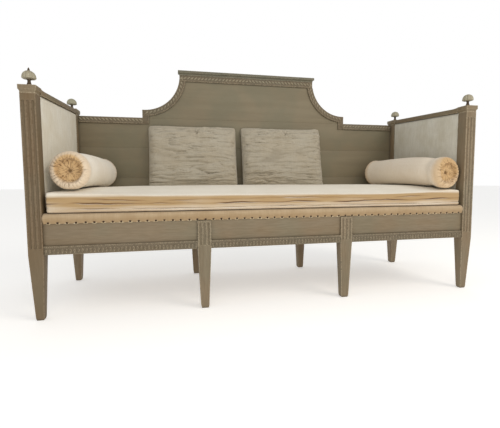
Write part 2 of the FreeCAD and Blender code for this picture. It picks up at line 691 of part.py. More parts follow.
def arm_top_rail(name, side):
    """Top rail of an arm: it climbs to the back and sweeps up to the front cap."""
    front, back = "(Places.arm_front_y + Sizes.cap_overhang)", "(Places.arm_back_y - Sizes.cap_overhang)"
    sweep = "(%s + Sizes.arm_sweep_length)" % front
    sweep_top = "%s + Sizes.arm_rail_thickness" % arm_slope(sweep, "0")
    outline = [(front, arm_slope(front, "0")), (back, arm_slope(back, "0")),
               (back, "Places.arm_rail_rear_top"), (sweep, sweep_top, "Sizes.arm_sweep_radius", -1),
               (front, "Sizes.arm_height")]
    width = "Sizes.post_side + 2 * Sizes.arm_rail_overhang"
    rail = Piece("arm_rail_" + name, ("%d * Places.post_x" % side, "0", "0"))
    rail.pad("YZ", outline, "-(%s) / 2" % width, width)
    rail.fillet("Sizes.arm_rail_round", is_arm_top_edge)
    for start, top in (("%s - Sizes.arm_tenon" % front, "Places.arm_rail_front_top"),
                       (back, "Places.arm_rail_rear_top")):
        plan = [(x, "%s + %s" % (start, y)) for x, y in tenon_plan()]
        low_z = "%s - (Sizes.arm_rail_thickness + Sizes.arm_tenon) / 2" % top
        rail.pad("XY", plan, low_z, "Sizes.arm_tenon")


def is_arm_top_edge(edge):
    """True for the long upper edges of an arm's top rail."""
    underside = number(arm_slope("Places.arm_back_y", "0"))
    along = edge.BoundBox.YLength > number("Sizes.arm_sweep_length") / 2
    return along and edge.BoundBox.XLength < number("Sizes.fit_gap") and (
        edge.BoundBox.ZMax > underside + number("Sizes.arm_rail_thickness") / 2
        or edge.BoundBox.YLength < 2 * number("Sizes.arm_sweep_length"))


def arm_sheet(label, side, near, far, gap, rounded):
    """Upright sheet that fills an arm between the posts, the lower rail and the sloping top rail."""
    front, back = "(Places.arm_front_y + %s)" % gap, "(Places.arm_back_y - %s)" % gap
    bottom = "Places.lower_rail_top + %s" % gap
    front_top, back_top = "(%s + Sizes.cap_overhang)" % front, "(%s - Sizes.cap_overhang)" % back
    outline = [(front, bottom), (back, bottom), (back, "Sizes.back_height - %s" % gap),
               (back_top, arm_slope(back_top, gap)), (front_top, arm_slope(front_top, gap)),
               (front, "Places.front_post_top - %s" % gap)]
    low_x, high_x = between(side, near, far)
    sheet_piece = Piece(label, (low_x, "0", "0"))
    thickness = "(%s) - (%s)" % (high_x, low_x)
    sheet_piece.pad("YZ", outline, "0", thickness)
    if rounded:
        face_x = number(rounded) - number(low_x)
        sheet_piece.fillet("Sizes.arm_pad_round", lambda edge: lies_at_x(edge, face_x))


def lies_at_x(edge, place):
    """True for an edge that lies in the upright plane at the given X."""
    margin = number("Sizes.fit_gap")
    return abs(edge.BoundBox.XMin - place) < margin and abs(edge.BoundBox.XMax - place) < margin


def arm(name, side):
    """One arm: top rail, lower rail, upholstered core and the linen pads on its two faces."""
    arm_top_rail(name, side)
    low_x, high_x = between(side, "Places.lower_rail_x", "Places.side_rail_outer_x")
    block("arm_lower_rail_" + name, low_x, high_x, "Places.arm_front_y", "Places.arm_back_y",
          "Places.side_rail_top", "Places.lower_rail_top")
    arm_sheet("arm_core_" + name, side, "Places.core_x", "Places.core_x + Places.core_thickness", "0", None)
    arm_sheet("arm_pad_inner_" + name, side, "Places.pad_x", "Places.pad_x + Sizes.arm_pad_thickness",
              "Sizes.soft_gap", "%d * Places.pad_x" % side)
    arm_sheet("arm_pad_outer_" + name, side, "Places.outer_pad_x",
              "Places.outer_pad_x + Sizes.arm_pad_thickness", "Sizes.soft_gap",
              "%d * (Places.outer_pad_x + Sizes.arm_pad_thickness)" % side)


def back_board(label, half, low_z, high_z, tongue_half, grooved):
    """Level back board with a tongue on top and, where it stands on another, a groove below."""
    board = Piece(label, ("0", "Places.board_front_y", low_z))
    height = "(%s) - (%s)" % (high_z, low_z)
    board.pad("XY", rectangle("-" + half, "0", half, "Sizes.board_thickness"), "0", height)
    middle = "Sizes.board_thickness / 2"
    tongue = rectangle("-(%s)" % tongue_half, "%s - Sizes.tongue / 2" % middle,
                       tongue_half, "%s + Sizes.tongue / 2" % middle)
    board.pad("XY", tongue, height, "Sizes.tongue")
    if grooved:
        board_groove(board, "Places.inner_x")
    return board


def board_groove(board, half):
    """Groove in the lower edge of a back board, a little larger than the tongue that it takes."""
    middle, room = "Sizes.board_thickness / 2", "(Sizes.tongue / 2 + Sizes.fit_gap)"
    outline = rectangle("-(%s)" % half, "%s - %s" % (middle, room), half, "%s + %s" % (middle, room))
    board.pocket("XY", outline, "0", "Sizes.tongue + Sizes.fit_gap")


def shoulder_edge(radius, level):
    """X of the concave shoulder's edge, drawn with the given radius, at a height."""
    return "(Places.shoulder_x - sqrt((%s)^2 - (Places.shoulder_z - (%s))^2))" % (radius, level)


def crest_board():
    """Crest board: raised middle, concave quarter-round shoulders and square ears."""
    radius, bottom = "Sizes.shoulder_radius", "Sizes.back_height"
    right = [("Places.ear_half", bottom), ("Places.ear_half", "Places.ear_top"),
             ("Places.shoulder_x", "Places.ear_top", radius, -1), ("Sizes.crest_half", "Places.shoulder_z"),
             ("Sizes.crest_half", "Places.crest_top")]
    left = [("-Sizes.crest_half", "Places.crest_top"), ("-Sizes.crest_half", "Places.shoulder_z", radius, -1),
            ("-Places.shoulder_x", "Places.ear_top"), ("-Places.ear_half", "Places.ear_top"),
            ("-Places.ear_half", bottom)]
    board = Piece("back_board_crest", ("0", "Places.board_front_y", "0"))
    board.pad("XZ", right + left, "0", "Sizes.board_thickness")
    middle, room = "Sizes.board_thickness / 2", "(Sizes.tongue / 2 + Sizes.fit_gap)"
    half = "(Places.ear_half - Sizes.band_width + Sizes.fit_gap)"
    outline = rectangle("-" + half, "%s - %s" % (middle, room), half, "%s + %s" % (middle, room))
    board.pocket("XY", outline, bottom, "Sizes.tongue + Sizes.fit_gap")


def back_boards():
    """The four boards of the back, one on another."""
    split = "Places.rail_top + Sizes.lower_board_height"
    half = "Places.board_half"
    tongue = "(Places.inner_x - Sizes.fit_gap)"
    back_board("back_board_lower", half, "Places.rail_top", split, tongue, False)
    back_board("back_board_middle", half, split, "Places.upper_board_z", tongue, True)
    back_board("back_board_upper", half, "Places.upper_board_z", "Sizes.back_height",
               "(Places.ear_half - Sizes.band_width)", True)
    crest_board()


def straight_band(label, low_x, high_x, back_y, low_z, bead_on_top):
    """Straight carved band, a plate with a bead along one edge, standing proud of what it lies on."""
    piece = Piece(label, (low_x, back_y, low_z))
    length = "(%s) - (%s)" % (high_x, low_x)
    plate = rectangle("0", "0", length, "Sizes.band_width")
    piece.pad("XZ", plate, "-Sizes.band_thickness", "Sizes.band_thickness")
    low = "Sizes.band_width - Sizes.bead_width" if bead_on_top else "0"
    bead = rectangle("0", low, length, "%s + Sizes.bead_width" % low)
    piece.pad("XZ", bead, "-Sizes.bead_thickness", "Sizes.bead_thickness")


def shoulder_outline(side, near, far):
    """Strip along the shoulder and down the ear, between two distances from the board's edge."""
    level, bottom = "Places.crest_band_z", "Places.rail_band_z"
    outer, inner = "(Sizes.shoulder_radius + %s)" % near, "(Sizes.shoulder_radius + %s)" % far
    inner_x = "(Places.ear_half - %s)" % far
    outer_x = "(Places.ear_half - %s)" % near
    dip = "(Places.shoulder_z - sqrt(%s^2 - (%s - Places.shoulder_x)^2))"
    corners = [(shoulder_edge(outer, level), level, outer, 1)]
    if near == "0":
        corners += [("Places.shoulder_x", "Places.ear_top"), (outer_x, "Places.ear_top")]
    else:
        corners += [(outer_x, dip % (outer, outer_x))]
    corners += [(outer_x, bottom), (inner_x, bottom), (inner_x, dip % (inner, inner_x), inner, -1),
                (shoulder_edge(inner, level), level)]
    if side > 0:
        return corners
    return [("-(%s)" % corner[0], corner[1]) + ((corner[2], -corner[3]) if len(corner) > 2 else ())
            for corner in corners]


def shoulder_band(name, side):
    """Carved band that follows a concave shoulder and turns down the ear."""
    piece = Piece("shoulder_band_" + name, ("0", "Places.board_front_y", "0"))
    plate = shoulder_outline(side, "0", "Sizes.band_width")
    piece.pad("XZ", plate, "-Sizes.band_thickness", "Sizes.band_thickness")
    bead = shoulder_outline(side, "(Sizes.band_width - Sizes.bead_width)", "Sizes.band_width")
    piece.pad("XZ", bead, "-Sizes.bead_thickness", "Sizes.bead_thickness")


def bands():
    """All carved bands: on the crest, the shoulders, the back rail and under the front rail."""
    straight_band("crest_band", "-Sizes.crest_half", "Sizes.crest_half", "Places.board_front_y",
                  "Places.crest_band_z", False)
    for name, side in SIDES.items():
        shoulder_band(name, side)
        low_x, high_x = between(side, "Places.ear_half", "Places.inner_x")
        straight_band("back_rail_band_" + name, low_x, high_x, "Places.board_front_y",
                      "Places.rail_band_z", False)
        outer_side = "Sizes.middle_leg_offset + Sizes.middle_leg_width / 2"
        low_x, high_x = between(side, outer_side, "Places.inner_x")
        straight_band("front_rail_band_" + name, low_x, high_x, "Places.rail_front_y",
                      "Sizes.leg_height", True)
    half = "(Sizes.middle_leg_offset - Sizes.middle_leg_width / 2)"
    straight_band("front_rail_band_middle", "-" + half, half, "Places.rail_front_y",
                  "Sizes.leg_height", True)


def crest_cap():
    """Moulded cap on top of the crest board and its band."""
    depth = "Sizes.board_thickness + Sizes.bead_thickness"
    centre_y = "Places.board_front_y + (Sizes.board_thickness - Sizes.bead_thickness) / 2"
    moulded_block("crest_cap", ("0", centre_y, "Places.crest_top"), "2 * Sizes.crest_half", depth,
                  "Sizes.crest_cap_slab", "Sizes.crest_cap_cove", "Sizes.crest_cap_overhang")


def back_batten(name, side):
    """Upright batten behind the boards, from the rear seat rail to under the crest cap."""
    middle = "%d * Sizes.middle_leg_offset" % side
    block("back_batten_" + name,
          "%s - Sizes.batten_width / 2" % middle, "%s + Sizes.batten_width / 2" % middle,
          "Places.board_back_y", "Places.board_back_y + Sizes.batten_thickness",
          "Sizes.leg_height + Sizes.batten_drop", "Places.crest_top - Sizes.batten_drop")


def group(label, shapes):
    """One node of several equal solids."""
    feature = doc.addObject("Part::Feature", label)
    feature.Label = label
    feature.Shape = Part.makeCompound(shapes)


def webbing():
    """Jute straps: the long ones on the side rails, the cross ones over them on the long rails."""
    width, thickness = number("Sizes.strap_width"), number("Sizes.strap_thickness")
    half_x = number("Places.inner_x - Sizes.strap_margin")
    start_y = number("Places.rail_front_y + Sizes.strap_margin")
    cross_length = number("Places.board_front_y - Sizes.strap_margin") - start_y
    count = int(number("Sizes.cross_straps"))
    pitch = (2 * half_x - width) / (count - 1)
    strap = Part.makeBox(width, cross_length, thickness)
    low = Vector(-half_x, start_y, number("Places.rail_top"))
    group("webbing_cross", [strap.translated(low + Vector(step * pitch, 0, 0)) for step in range(count)])
    reach = number("Places.lower_rail_x - Sizes.strap_margin")
    arm_front, arm_back = number("Places.arm_front_y"), number("Places.arm_back_y")
    count = int(number("Sizes.long_straps"))
    pitch = (arm_back - arm_front) / count
    strap = Part.makeBox(2 * reach, width, thickness)
    low = Vector(-reach, arm_front + (pitch - width) / 2, number("Places.side_rail_top"))
    group("webbing_long", [strap.translated(low + Vector(0, step * pitch, 0)) for step in range(count)])


def seat_deck():
    """Linen-covered deck, rolled over the front rail down to the tack line."""
    face = "(Places.front_y + Sizes.deck_lip_face)"
    inside = "(Places.rail_front_y - Sizes.soft_gap)"
    rear = "(Places.board_front_y - Sizes.soft_gap)"
    outline = [(face, "Places.lip_bottom"), (inside, "Places.lip_bottom"), (inside, "Places.deck_bottom"),
               (rear, "Places.deck_bottom"), (rear, "Places.deck_top"),
               ("%s + Sizes.deck_roll" % face, "Places.deck_top", "Sizes.deck_roll", 1),
               (face, "Places.deck_top - Sizes.deck_roll")]
    half = "(Places.inner_x - Sizes.deck_side_gap)"
    deck = Piece("seat_deck")
    deck.pad("YZ", outline, "-" + half, "2 * " + half)


def edges_through(points, bulges):
    """Edges of a closed outline; a bulge is an arc's rise over its chord, to the right, zero for a line."""
    edges = []
    for index, bulge in enumerate(bulges):
        start, end = points[index], points[(index + 1) % len(points)]
        if not bulge:
            edges.append(Part.LineSegment(start, end).toShape())
            continue
        chord = end - start
        outward = chord.cross(Vector(1, 0, 0)).normalize()
        edges.append(Part.Arc(start, (start + end) * 0.5 + outward * bulge, end).toShape())
    return edges


def mattress_section(place_x, inset, edge_drop, crown):
    """Outline of the mattress across its length: rolled edges, a fold between them, a crowned top."""
    front = number("Places.mattress_front_y")
    depth = number("Places.mattress_depth")
    bottom = number("Places.mattress_bottom")
    fold = number("Sizes.mattress_fold")
    levels = [0, number("Sizes.lower_roll"), number("Sizes.lower_roll + Sizes.fold_height"),
              number("Sizes.mattress_edge") - edge_drop]
    bulge = fold * 0.8
    front_side = [Vector(place_x, front + inset + fold, bottom + level) for level in reversed(levels)]
    back_side = [Vector(place_x, front + depth - inset - fold, bottom + level) for level in levels]
    side_bulges = [bulge, fold / 3, bulge]
    points = front_side + back_side
    wire = Part.Wire(edges_through(points, side_bulges + [0] + side_bulges + [crown]))
    return wire


def mattress():
    """Boxed mattress: a loft along its length, lower and drawn in at both ends."""
    half = number("Places.mattress_length / 2")
    crown, fold = number("Sizes.mattress_crown"), number("Sizes.mattress_fold")
    lift, end_crown = number("Sizes.mattress_corner_lift"), number("Sizes.mattress_end_crown")
    # Share of the half length, inset, drop of the top edge, share of the crown
    stations = [(1.0, 1.6 * fold, fold, 0.12), (0.985, 0, -lift, 0.36), (0.91, 0, -lift / 2, end_crown),
                (0.6, 0, 0, 0.96), (0.0, 0, 0, 1.0)]
    spread = [(-share, inset, drop, rise) for share, inset, drop, rise in stations]
    spread += [station for station in reversed(stations[:-1])]
    sections = [mattress_section(share * half, inset, drop, rise * crown)
                for share, inset, drop, rise in spread]
    feature = doc.addObject("Part::Feature", "mattress")
    feature.Label = "mattress"
    feature.Shape = Part.makeLoft(sections, True, True)


def cushion_shape():
    """Knife-edged cushion about the middle of its lower edge: crowned faces, drawn-in long edges."""
    half_width, height = number("Sizes.cushion_width / 2"), number("Sizes.cushion_height")
    edge, draw = number("Sizes.cushion_edge"), number("Sizes.cushion_draw")
    front, rear = number("Sizes.cushion_front"), number("Sizes.cushion_rear")
    sections = []
    for share in (-1.0, -0.7, 0.7, 1.0):
        fullness = math.sqrt(1.0 - 0.97 * abs(share) ** 3)
        inset = draw * (1.0 - share ** 2)
        low, high, half_edge = inset, height - inset, edge / 2
        points = [Vector(share * half_width, -half_edge, high), Vector(share * half_width, -half_edge, low),
                  Vector(share * half_width, half_edge, low), Vector(share * half_width, half_edge, high)]
        bulges = [(front - half_edge) * fullness, 0, (rear - half_edge) * fullness, 0]
        sections.append(Part.Wire(edges_through(points, bulges)))
    return Part.makeLoft(sections, True, True)


def back_cushion(label, place_x):
    """Back cushion that leans on the boards, with its lower edge on the mattress."""
    tilt = number("Sizes.cushion_tilt")
    height = number("Sizes.cushion_height")
    reach = math.sin(math.radians(tilt)) * height + number("Sizes.cushion_edge") / 2
    low_y = number("Places.board_front_y - Sizes.cushion_top_gap") - reach
    half_depth = number("Places.mattress_depth / 2")
    crown, edge = number("Sizes.mattress_crown"), number("Sizes.mattress_edge")
    middle_y = number("Places.mattress_front_y") + half_depth
    curve = (half_depth ** 2 + crown ** 2) / (2 * crown)
    sag = curve - math.sqrt(curve ** 2 - (low_y - number("Sizes.cushion_edge") - middle_y) ** 2)
    low_z = number("Places.mattress_bottom + Sizes.soft_gap") + edge + crown - sag
    feature = doc.addObject("Part::Feature", label)
    feature.Label = label
    feature.Shape = cushion_shape()
    feature.Placement = FreeCAD.Placement(Vector(number(place_x), low_y, low_z),
                                          FreeCAD.Rotation(Vector(1, 0, 0), -tilt))


def bolster(name, side, middle_y):
    """Stuffed bolster along an arm: round shoulders, gathered and sunken ends with a knot."""
    radius, half, shoulder = "Sizes.bolster_radius", "(Places.bolster_length / 2)", "Sizes.bolster_shoulder"
    profile = [("0", "%s - Sizes.bolster_hollow" % half),
               ("Sizes.bolster_knot", "%s - Sizes.bolster_hollow" % half)]
    for degrees in (90, 0):
        profile.append(("%s - %s * (1 - cos(%d))" % (radius, shoulder, degrees),
                        "%s - %s * (1 - sin(%d))" % (half, shoulder, degrees)))
    upper = profile[::-1]
    lower = [(reach, "-(%s)" % level) for reach, level in profile]
    middle_x = "(Places.inner_x - Sizes.%s_bolster_gap - Sizes.bolster_radius)" % name
    piece = Piece("bolster_" + name, ("%d * %s" % (side, middle_x), middle_y, "Places.bolster_z"))
    piece.turn(lower + upper)
    turn = FreeCAD.Rotation(Vector(0, 0, 1), side * number("Sizes.%s_bolster_turn" % name))
    lay_down = FreeCAD.Rotation(Vector(1, 0, 0), 90)
    piece.body.Placement = FreeCAD.Placement(piece.body.Placement.Base, turn * lay_down)


def build():
    """Make every piece of the sofa."""
    for name, side in SIDES.items():
        front_post(name, side)
        rear_post(name, side)
        for row in ("front", "rear"):
            post_cap(name, row, side)
            finial(name, row, side, bud=(row == "front" and name == "left"))
            corner_block(name, row, side)
        side_seat_rail(name, side)
        front_middle_leg(name, side)
        rear_middle_leg(name, side)
        cross_bearer(name, side)
        arm(name, side)
        back_batten(name, side)
    front_seat_rail()
    rear_seat_rail()
    back_boards()
    bands()
    crest_cap()
    webbing()
    seat_deck()
    mattress()
    back_cushion("cushion_left", "Sizes.left_cushion_x")
    back_cushion("cushion_right", "Places.right_cushion_x")
    bolster("left", SIDES["left"], "Places.bolster_y")
    bolster("right", SIDES["right"], "Places.right_bolster_y")


def sub_parts():
    """The document's finished pieces."""
    return [item for item in doc.Objects
            if item.TypeId == "PartDesign::Body" or item.TypeId == "Part::Feature"]


def check():
    """Stop on any failed object or bad shape before anything is written."""
    for item in doc.Objects:
        if "Invalid" in item.State or "Error" in item.State:
            raise ValueError("%s failed to build" % item.Label)
    for item in sub_parts():
        if item.Shape.isNull() or not item.Shape.isValid():
            raise ValueError("%s has a bad shape" % item.Label)


def export():
    """Write each piece to its own file."""
    os.makedirs("parts", exist_ok=True)
    for item in sub_parts():
        item.Shape.exportStep("parts/%s.step" % item.Label)
    print("%d sub-parts written" % len(sub_parts()))


build()
doc.recompute()
check()
export()
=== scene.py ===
import json
import logging
import math
from collections.abc import Callable, Sequence
from dataclasses import dataclass
from enum import Enum

import bmesh
import bpy
from mathutils import Matrix, Vector, noise


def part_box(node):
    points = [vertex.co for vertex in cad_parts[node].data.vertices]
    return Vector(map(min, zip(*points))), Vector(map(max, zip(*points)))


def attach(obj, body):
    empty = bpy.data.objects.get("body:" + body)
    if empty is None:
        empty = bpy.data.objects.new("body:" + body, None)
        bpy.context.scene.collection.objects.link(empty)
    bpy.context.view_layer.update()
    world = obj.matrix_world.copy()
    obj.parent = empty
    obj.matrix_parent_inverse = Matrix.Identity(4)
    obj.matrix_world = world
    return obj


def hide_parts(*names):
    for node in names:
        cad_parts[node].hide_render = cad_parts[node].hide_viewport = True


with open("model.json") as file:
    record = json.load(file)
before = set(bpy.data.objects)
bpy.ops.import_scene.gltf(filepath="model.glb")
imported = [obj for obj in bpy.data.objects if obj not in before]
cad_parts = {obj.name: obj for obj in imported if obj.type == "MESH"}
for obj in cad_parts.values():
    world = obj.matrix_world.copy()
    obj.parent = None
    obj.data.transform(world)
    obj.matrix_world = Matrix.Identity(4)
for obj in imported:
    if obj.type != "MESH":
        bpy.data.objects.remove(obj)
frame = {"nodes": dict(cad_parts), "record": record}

logging.basicConfig(level=logging.INFO, format="%(message)s")
log = logging.getLogger("sofa")

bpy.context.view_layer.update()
MM = 0.001
SIDES = {"left": -1, "right": 1}

Socket = bpy.types.NodeSocket
Tree = bpy.types.NodeTree
Thing = bpy.types.Object


def linear(code: str) -> tuple[float, float, float, float]:
    """Linear RGBA of an sRGB hex colour such as #857A63."""
    parts = [int(code[place:place + 2], 16) / 255 for place in (1, 3, 5)]
    red, green, blue = (part / 12.92 if part <= 0.04045 else ((part + 0.055) / 1.055) ** 2.4 for part in parts)
    return red, green, blue, 1.0


def smooth(low: float, high: float, value: float) -> float:
    """Smooth step from 0 at low to 1 at high."""
    share = min(1.0, max(0.0, (value - low) / (high - low)))
    return share * share * (3 - 2 * share)


def blend_between(knots: Sequence[tuple[float, float]], value: float) -> float:
    """Smoothly interpolated value of a curve through the given knots."""
    if value <= knots[0][0]:
        return knots[0][1]
    for (low, first), (high, last) in zip(knots, knots[1:]):
        if value <= high:
            return first + (last - first) * smooth(low, high, value)
    return knots[-1][1]


def ripple(x: float, y: float, seed: float) -> float:
    """Smooth noise from -1 to 1 at a place, different for each seed."""
    return noise.noise(Vector((x, y, seed * 7.31)))


# Materials

def add(tree: Tree, kind: str, settings: dict | None = None, links: dict | None = None) -> bpy.types.Node:
    """Add one node.

    Args:
        tree: Node tree that gets the node.
        kind: Node type, such as ShaderNodeTexNoise.
        settings: Properties (lower-case names) and input defaults.
        links: Input name or index to the output socket that feeds it.

    Returns:
        The new node.
    """
    item = tree.nodes.new(kind)
    for key, value in (settings or {}).items():
        if isinstance(key, str) and key.islower():
            setattr(item, key, value)
        else:
            item.inputs[key].default_value = value
    for key, socket in (links or {}).items():
        tree.links.new(socket, item.inputs[key])
    return item


def new_material(name: str) -> tuple[bpy.types.Material, Tree, bpy.types.Node]:
    """Empty material with a principled shader; returns the material, its tree and the shader."""
    material = bpy.data.materials.new(name)
    material.use_nodes = True
    tree = material.node_tree
    return material, tree, tree.nodes["Principled BSDF"]


def feed(tree: Tree, item: bpy.types.Node, values: dict[int, Socket | float | str]) -> None:
    """Give a node's inputs sockets, hex colours or numbers."""
    for index, value in values.items():
        if isinstance(value, Socket):
            tree.links.new(value, item.inputs[index])
        else:
            item.inputs[index].default_value = linear(value) if isinstance(value, str) else value


def mix(tree: Tree, share: Socket | float, first: Socket | str, second: Socket | str) -> Socket:
    """Colour mix of two sockets or hex colours by a share."""
    item = add(tree, "ShaderNodeMix", {"data_type": "RGBA", "blend_type": "MIX"})
    feed(tree, item, {0: share, 6: first, 7: second})
    return item.outputs[2]


def math_node(tree: Tree, operation: str, first: Socket | float, second: Socket | float) -> Socket:
    """One arithmetic step on sockets or numbers."""
    item = add(tree, "ShaderNodeMath", {"operation": operation, "use_clamp": operation != "ADD"})
    feed(tree, item, {0: first, 1: second})
    return item.outputs[0]


def tint(tree: Tree, base: Socket | str, mask: Socket, share: float, colour: str) -> Socket:
    """A colour laid over another where a mask shows, up to a share."""
    return mix(tree, math_node(tree, "MULTIPLY", mask, share), base, colour)


def speckle(tree: Tree, place: Socket, scale: float, detail: float, **settings: float) -> Socket:
    """Noise from 0 to 1 at a place."""
    return add(tree, "ShaderNodeTexNoise", {"Scale": scale, "Detail": detail, **settings},
               {"Vector": place}).outputs[0]


def ramp(tree: Tree, value: Socket, *stops: tuple[float, float]) -> Socket:
    """Grey ramp between two stops of place and brightness."""
    item = add(tree, "ShaderNodeValToRGB")
    for stop, (place, level) in zip(item.color_ramp.elements, stops):
        stop.position = place
        stop.color = (level, level, level, 1.0)
    tree.links.new(value, item.inputs["Fac"])
    return item.outputs[0]


def relief(tree: Tree, shader: bpy.types.Node, height: Socket, strength: float, depth: float) -> None:
    """Bump a shader's normal by a height."""
    bump = add(tree, "ShaderNodeBump", {"Strength": strength, "Distance": depth}, {"Height": height})
    tree.links.new(bump.outputs[0], shader.inputs["Normal"])


class Grain(Enum):
    """Direction of the wood's grain and of the brush strokes, as a stretch of the pattern."""

    ALONG_X = (0.10, 1.0, 1.0)
    ALONG_Y = (1.0, 0.10, 1.0)
    ALONG_Z = (1.0, 1.0, 0.10)


@dataclass(frozen=True)
class MilkPaint:
    """Old warm-grey milk paint on birch: chalky, brushed along the grain, rubbed thin on the arrises with a painted
    highlight there, and darkened in corners by dirt and painted shade.
    """

    name: str
    coat: str = "#7E6E56"
    thin: str = "#7B6546"
    green: str = "#76705A"
    rubbed_and_highlit: str = "#BBAD92"
    bare: str = "#7D6142"
    dirt_and_shade: str = "#463D2F"
    bare_share: float = 0.30
    roughness: float = 0.62
    arris: float = 5.5 * MM
    quirk: float = 14 * MM

    def make(self, grain: Grain) -> bpy.types.Material:
        """Build the material for one grain direction."""
        material, tree, shader = new_material("%s_%s" % (self.name, grain.name.lower()))
        place = add(tree, "ShaderNodeTexCoord").outputs["Object"]
        stretched = add(tree, "ShaderNodeMapping", {"Scale": grain.value}, {"Vector": place}).outputs[0]
        # Brush strokes about 6 mm wide, cloudy patches of 0.2 m, flakes of 8 mm
        strokes = speckle(tree, stretched, 160.0, 4.0, Roughness=0.6)
        broad = speckle(tree, stretched, 28.0, 3.0)
        patches = speckle(tree, place, 4.5, 3.0)
        flakes = speckle(tree, place, 120.0, 5.0, Roughness=0.65)
        stroke_mask = ramp(tree, strokes, (0.40, 0.0), (0.62, 1.0))
        broad_mask = ramp(tree, broad, (0.42, 0.0), (0.60, 1.0))
        patch_mask = ramp(tree, patches, (0.46, 0.0), (0.62, 1.0))
        colour = tint(tree, self.coat, broad_mask, 0.35, self.thin)
        colour = tint(tree, colour, patch_mask, 0.5, self.green)
        colour = tint(tree, colour, stroke_mask, 0.10, self.rubbed_and_highlit)
        # Arrises: near an edge the bevelled normal leaves the flat one, and there the paint is rubbed and lightened,
        # partly wear and partly a painted highlight
        flat = add(tree, "ShaderNodeNewGeometry").outputs["Normal"]
        eased = add(tree, "ShaderNodeBevel", {"samples": 6, "Radius": self.arris}).outputs[0]
        dot = add(tree, "ShaderNodeVectorMath", {"operation": "DOT_PRODUCT"}, {0: flat, 1: eased}).outputs["Value"]
        edge = ramp(tree, dot, (0.90, 1.0), (0.995, 0.0))
        worn_and_highlit = math_node(tree, "MULTIPLY", edge, ramp(tree, flakes, (0.42, 0.0), (0.52, 1.0)))
        colour = tint(tree, colour, worn_and_highlit, 0.85, self.rubbed_and_highlit)
        colour = tint(tree, colour, ramp(tree, flakes, (0.64, 0.0), (0.70, 1.0)), self.bare_share, self.bare)
        # Corners and quirks darken: some dirt, and painted shade where ambient occlusion finds a hollow
        corner = add(tree, "ShaderNodeAmbientOcclusion", {"samples": 6, "Distance": self.quirk}).outputs["AO"]
        colour = tint(tree, colour, ramp(tree, corner, (0.35, 1.0), (0.85, 0.0)), 0.5, self.dirt_and_shade)
        tree.links.new(colour, shader.inputs["Base Color"])
        rough = add(tree, "ShaderNodeMapRange", {"To Min": self.roughness - 0.08, "To Max": self.roughness + 0.1},
                    {"Value": broad}).outputs[0]
        tree.links.new(rough, shader.inputs["Roughness"])
        height = math_node(tree, "ADD", math_node(tree, "MULTIPLY", strokes, 0.5),
                           math_node(tree, "MULTIPLY", worn_and_highlit, 0.5))
        relief(tree, shader, height, 0.35, 0.5 * MM)
        return material


@dataclass(frozen=True)
class WovenCloth:
    """Plain-woven linen or cotton with uneven threads; two attributes say where it is yellowed, where shade is painted
    on its sides and into its creases, and where dirt lies.
    """

    name: str
    light: str
    dark: str
    aged_and_shaded: str
    crease_shade_and_dirt: str
    thread_mm: float = 2.4
    slub_share: float = 0.5
    patch_share: float = 0.35
    aged_and_shaded_share: float = 0.9
    roughness: float = 0.9
    sheen: float = 0.15
    specular: float = 0.25
    hollow: float = 9 * MM

    def make(self) -> bpy.types.Material:
        """Build the material."""
        material, tree, shader = new_material(self.name)
        place = add(tree, "ShaderNodeTexCoord").outputs["Object"]
        # Real threads are 0.6 to 0.9 mm apart; they are drawn coarser so that they show at all
        pitch = 1.0 / (self.thread_mm * MM)
        threads = []
        for stretch in ((0.08, 1.0, 1.0), (1.0, 0.5, 0.08)):
            along = add(tree, "ShaderNodeMapping", {"Scale": stretch}, {"Vector": place}).outputs[0]
            threads.append(speckle(tree, along, pitch * 0.5, 2.0, Roughness=0.5))
        weave = math_node(tree, "MULTIPLY", math_node(tree, "ADD", threads[0], threads[1]), 0.5)
        slubs = ramp(tree, weave, (0.40, 0.0), (0.62, 1.0))
        clouds = ramp(tree, speckle(tree, place, 9.0, 4.0, Roughness=0.6), (0.42, 0.0), (0.66, 1.0))
        colour = tint(tree, self.light, slubs, self.slub_share, self.dark)
        colour = tint(tree, colour, clouds, self.patch_share, self.aged_and_shaded)
        # Tone: yellowing, and on some pieces painted shade on the faces turned from the light
        tone = add(tree, "ShaderNodeAttribute", {"attribute_name": "tone"}).outputs["Fac"]
        colour = tint(tree, colour, tone, self.aged_and_shaded_share, self.aged_and_shaded)
        # Painted shade: hollows within reach of the ambient occlusion darken towards the crease colour
        hollow = add(tree, "ShaderNodeAmbientOcclusion", {"samples": 6, "Distance": self.hollow}).outputs["AO"]
        colour = tint(tree, colour, ramp(tree, hollow, (0.30, 1.0), (0.85, 0.0)), 0.65, self.crease_shade_and_dirt)
        # Painted shade in creases, with some real dirt, from the attribute written by the pieces
        shade_and_soil = add(tree, "ShaderNodeAttribute", {"attribute_name": "shade_and_soil"}).outputs["Fac"]
        colour = tint(tree, colour, shade_and_soil, 0.85, self.crease_shade_and_dirt)
        tree.links.new(colour, shader.inputs["Base Color"])
        shader.inputs["Roughness"].default_value = self.roughness
        shader.inputs["Sheen Weight"].default_value = self.sheen
        shader.inputs["Specular IOR Level"].default_value = self.specular
        relief(tree, shader, weave, 0.4, 0.6 * MM)
        return material


@dataclass(frozen=True)
class BlackenedIron:
    """Hand-forged upholstery tacks, blackened and slightly rusty."""

    name: str = "blackened_iron"
    steel: str = "#3A3029"
    rust: str = "#5A3A22"

    def make(self) -> bpy.types.Material:
        """Build the material."""
        material, tree, shader = new_material(self.name)
        place = add(tree, "ShaderNodeTexCoord").outputs["Object"]
        spots = speckle(tree, place, 300.0, 3.0)
        mask = ramp(tree, spots, (0.45, 0.0), (0.65, 1.0))
        tree.links.new(mix(tree, mask, self.steel, self.rust), shader.inputs["Base Color"])
        shader.inputs["Metallic"].default_value = 0.7
        shader.inputs["Roughness"].default_value = 0.5
        relief(tree, shader, spots, 0.3, 0.2 * MM)
        return material


# Mesh helpers

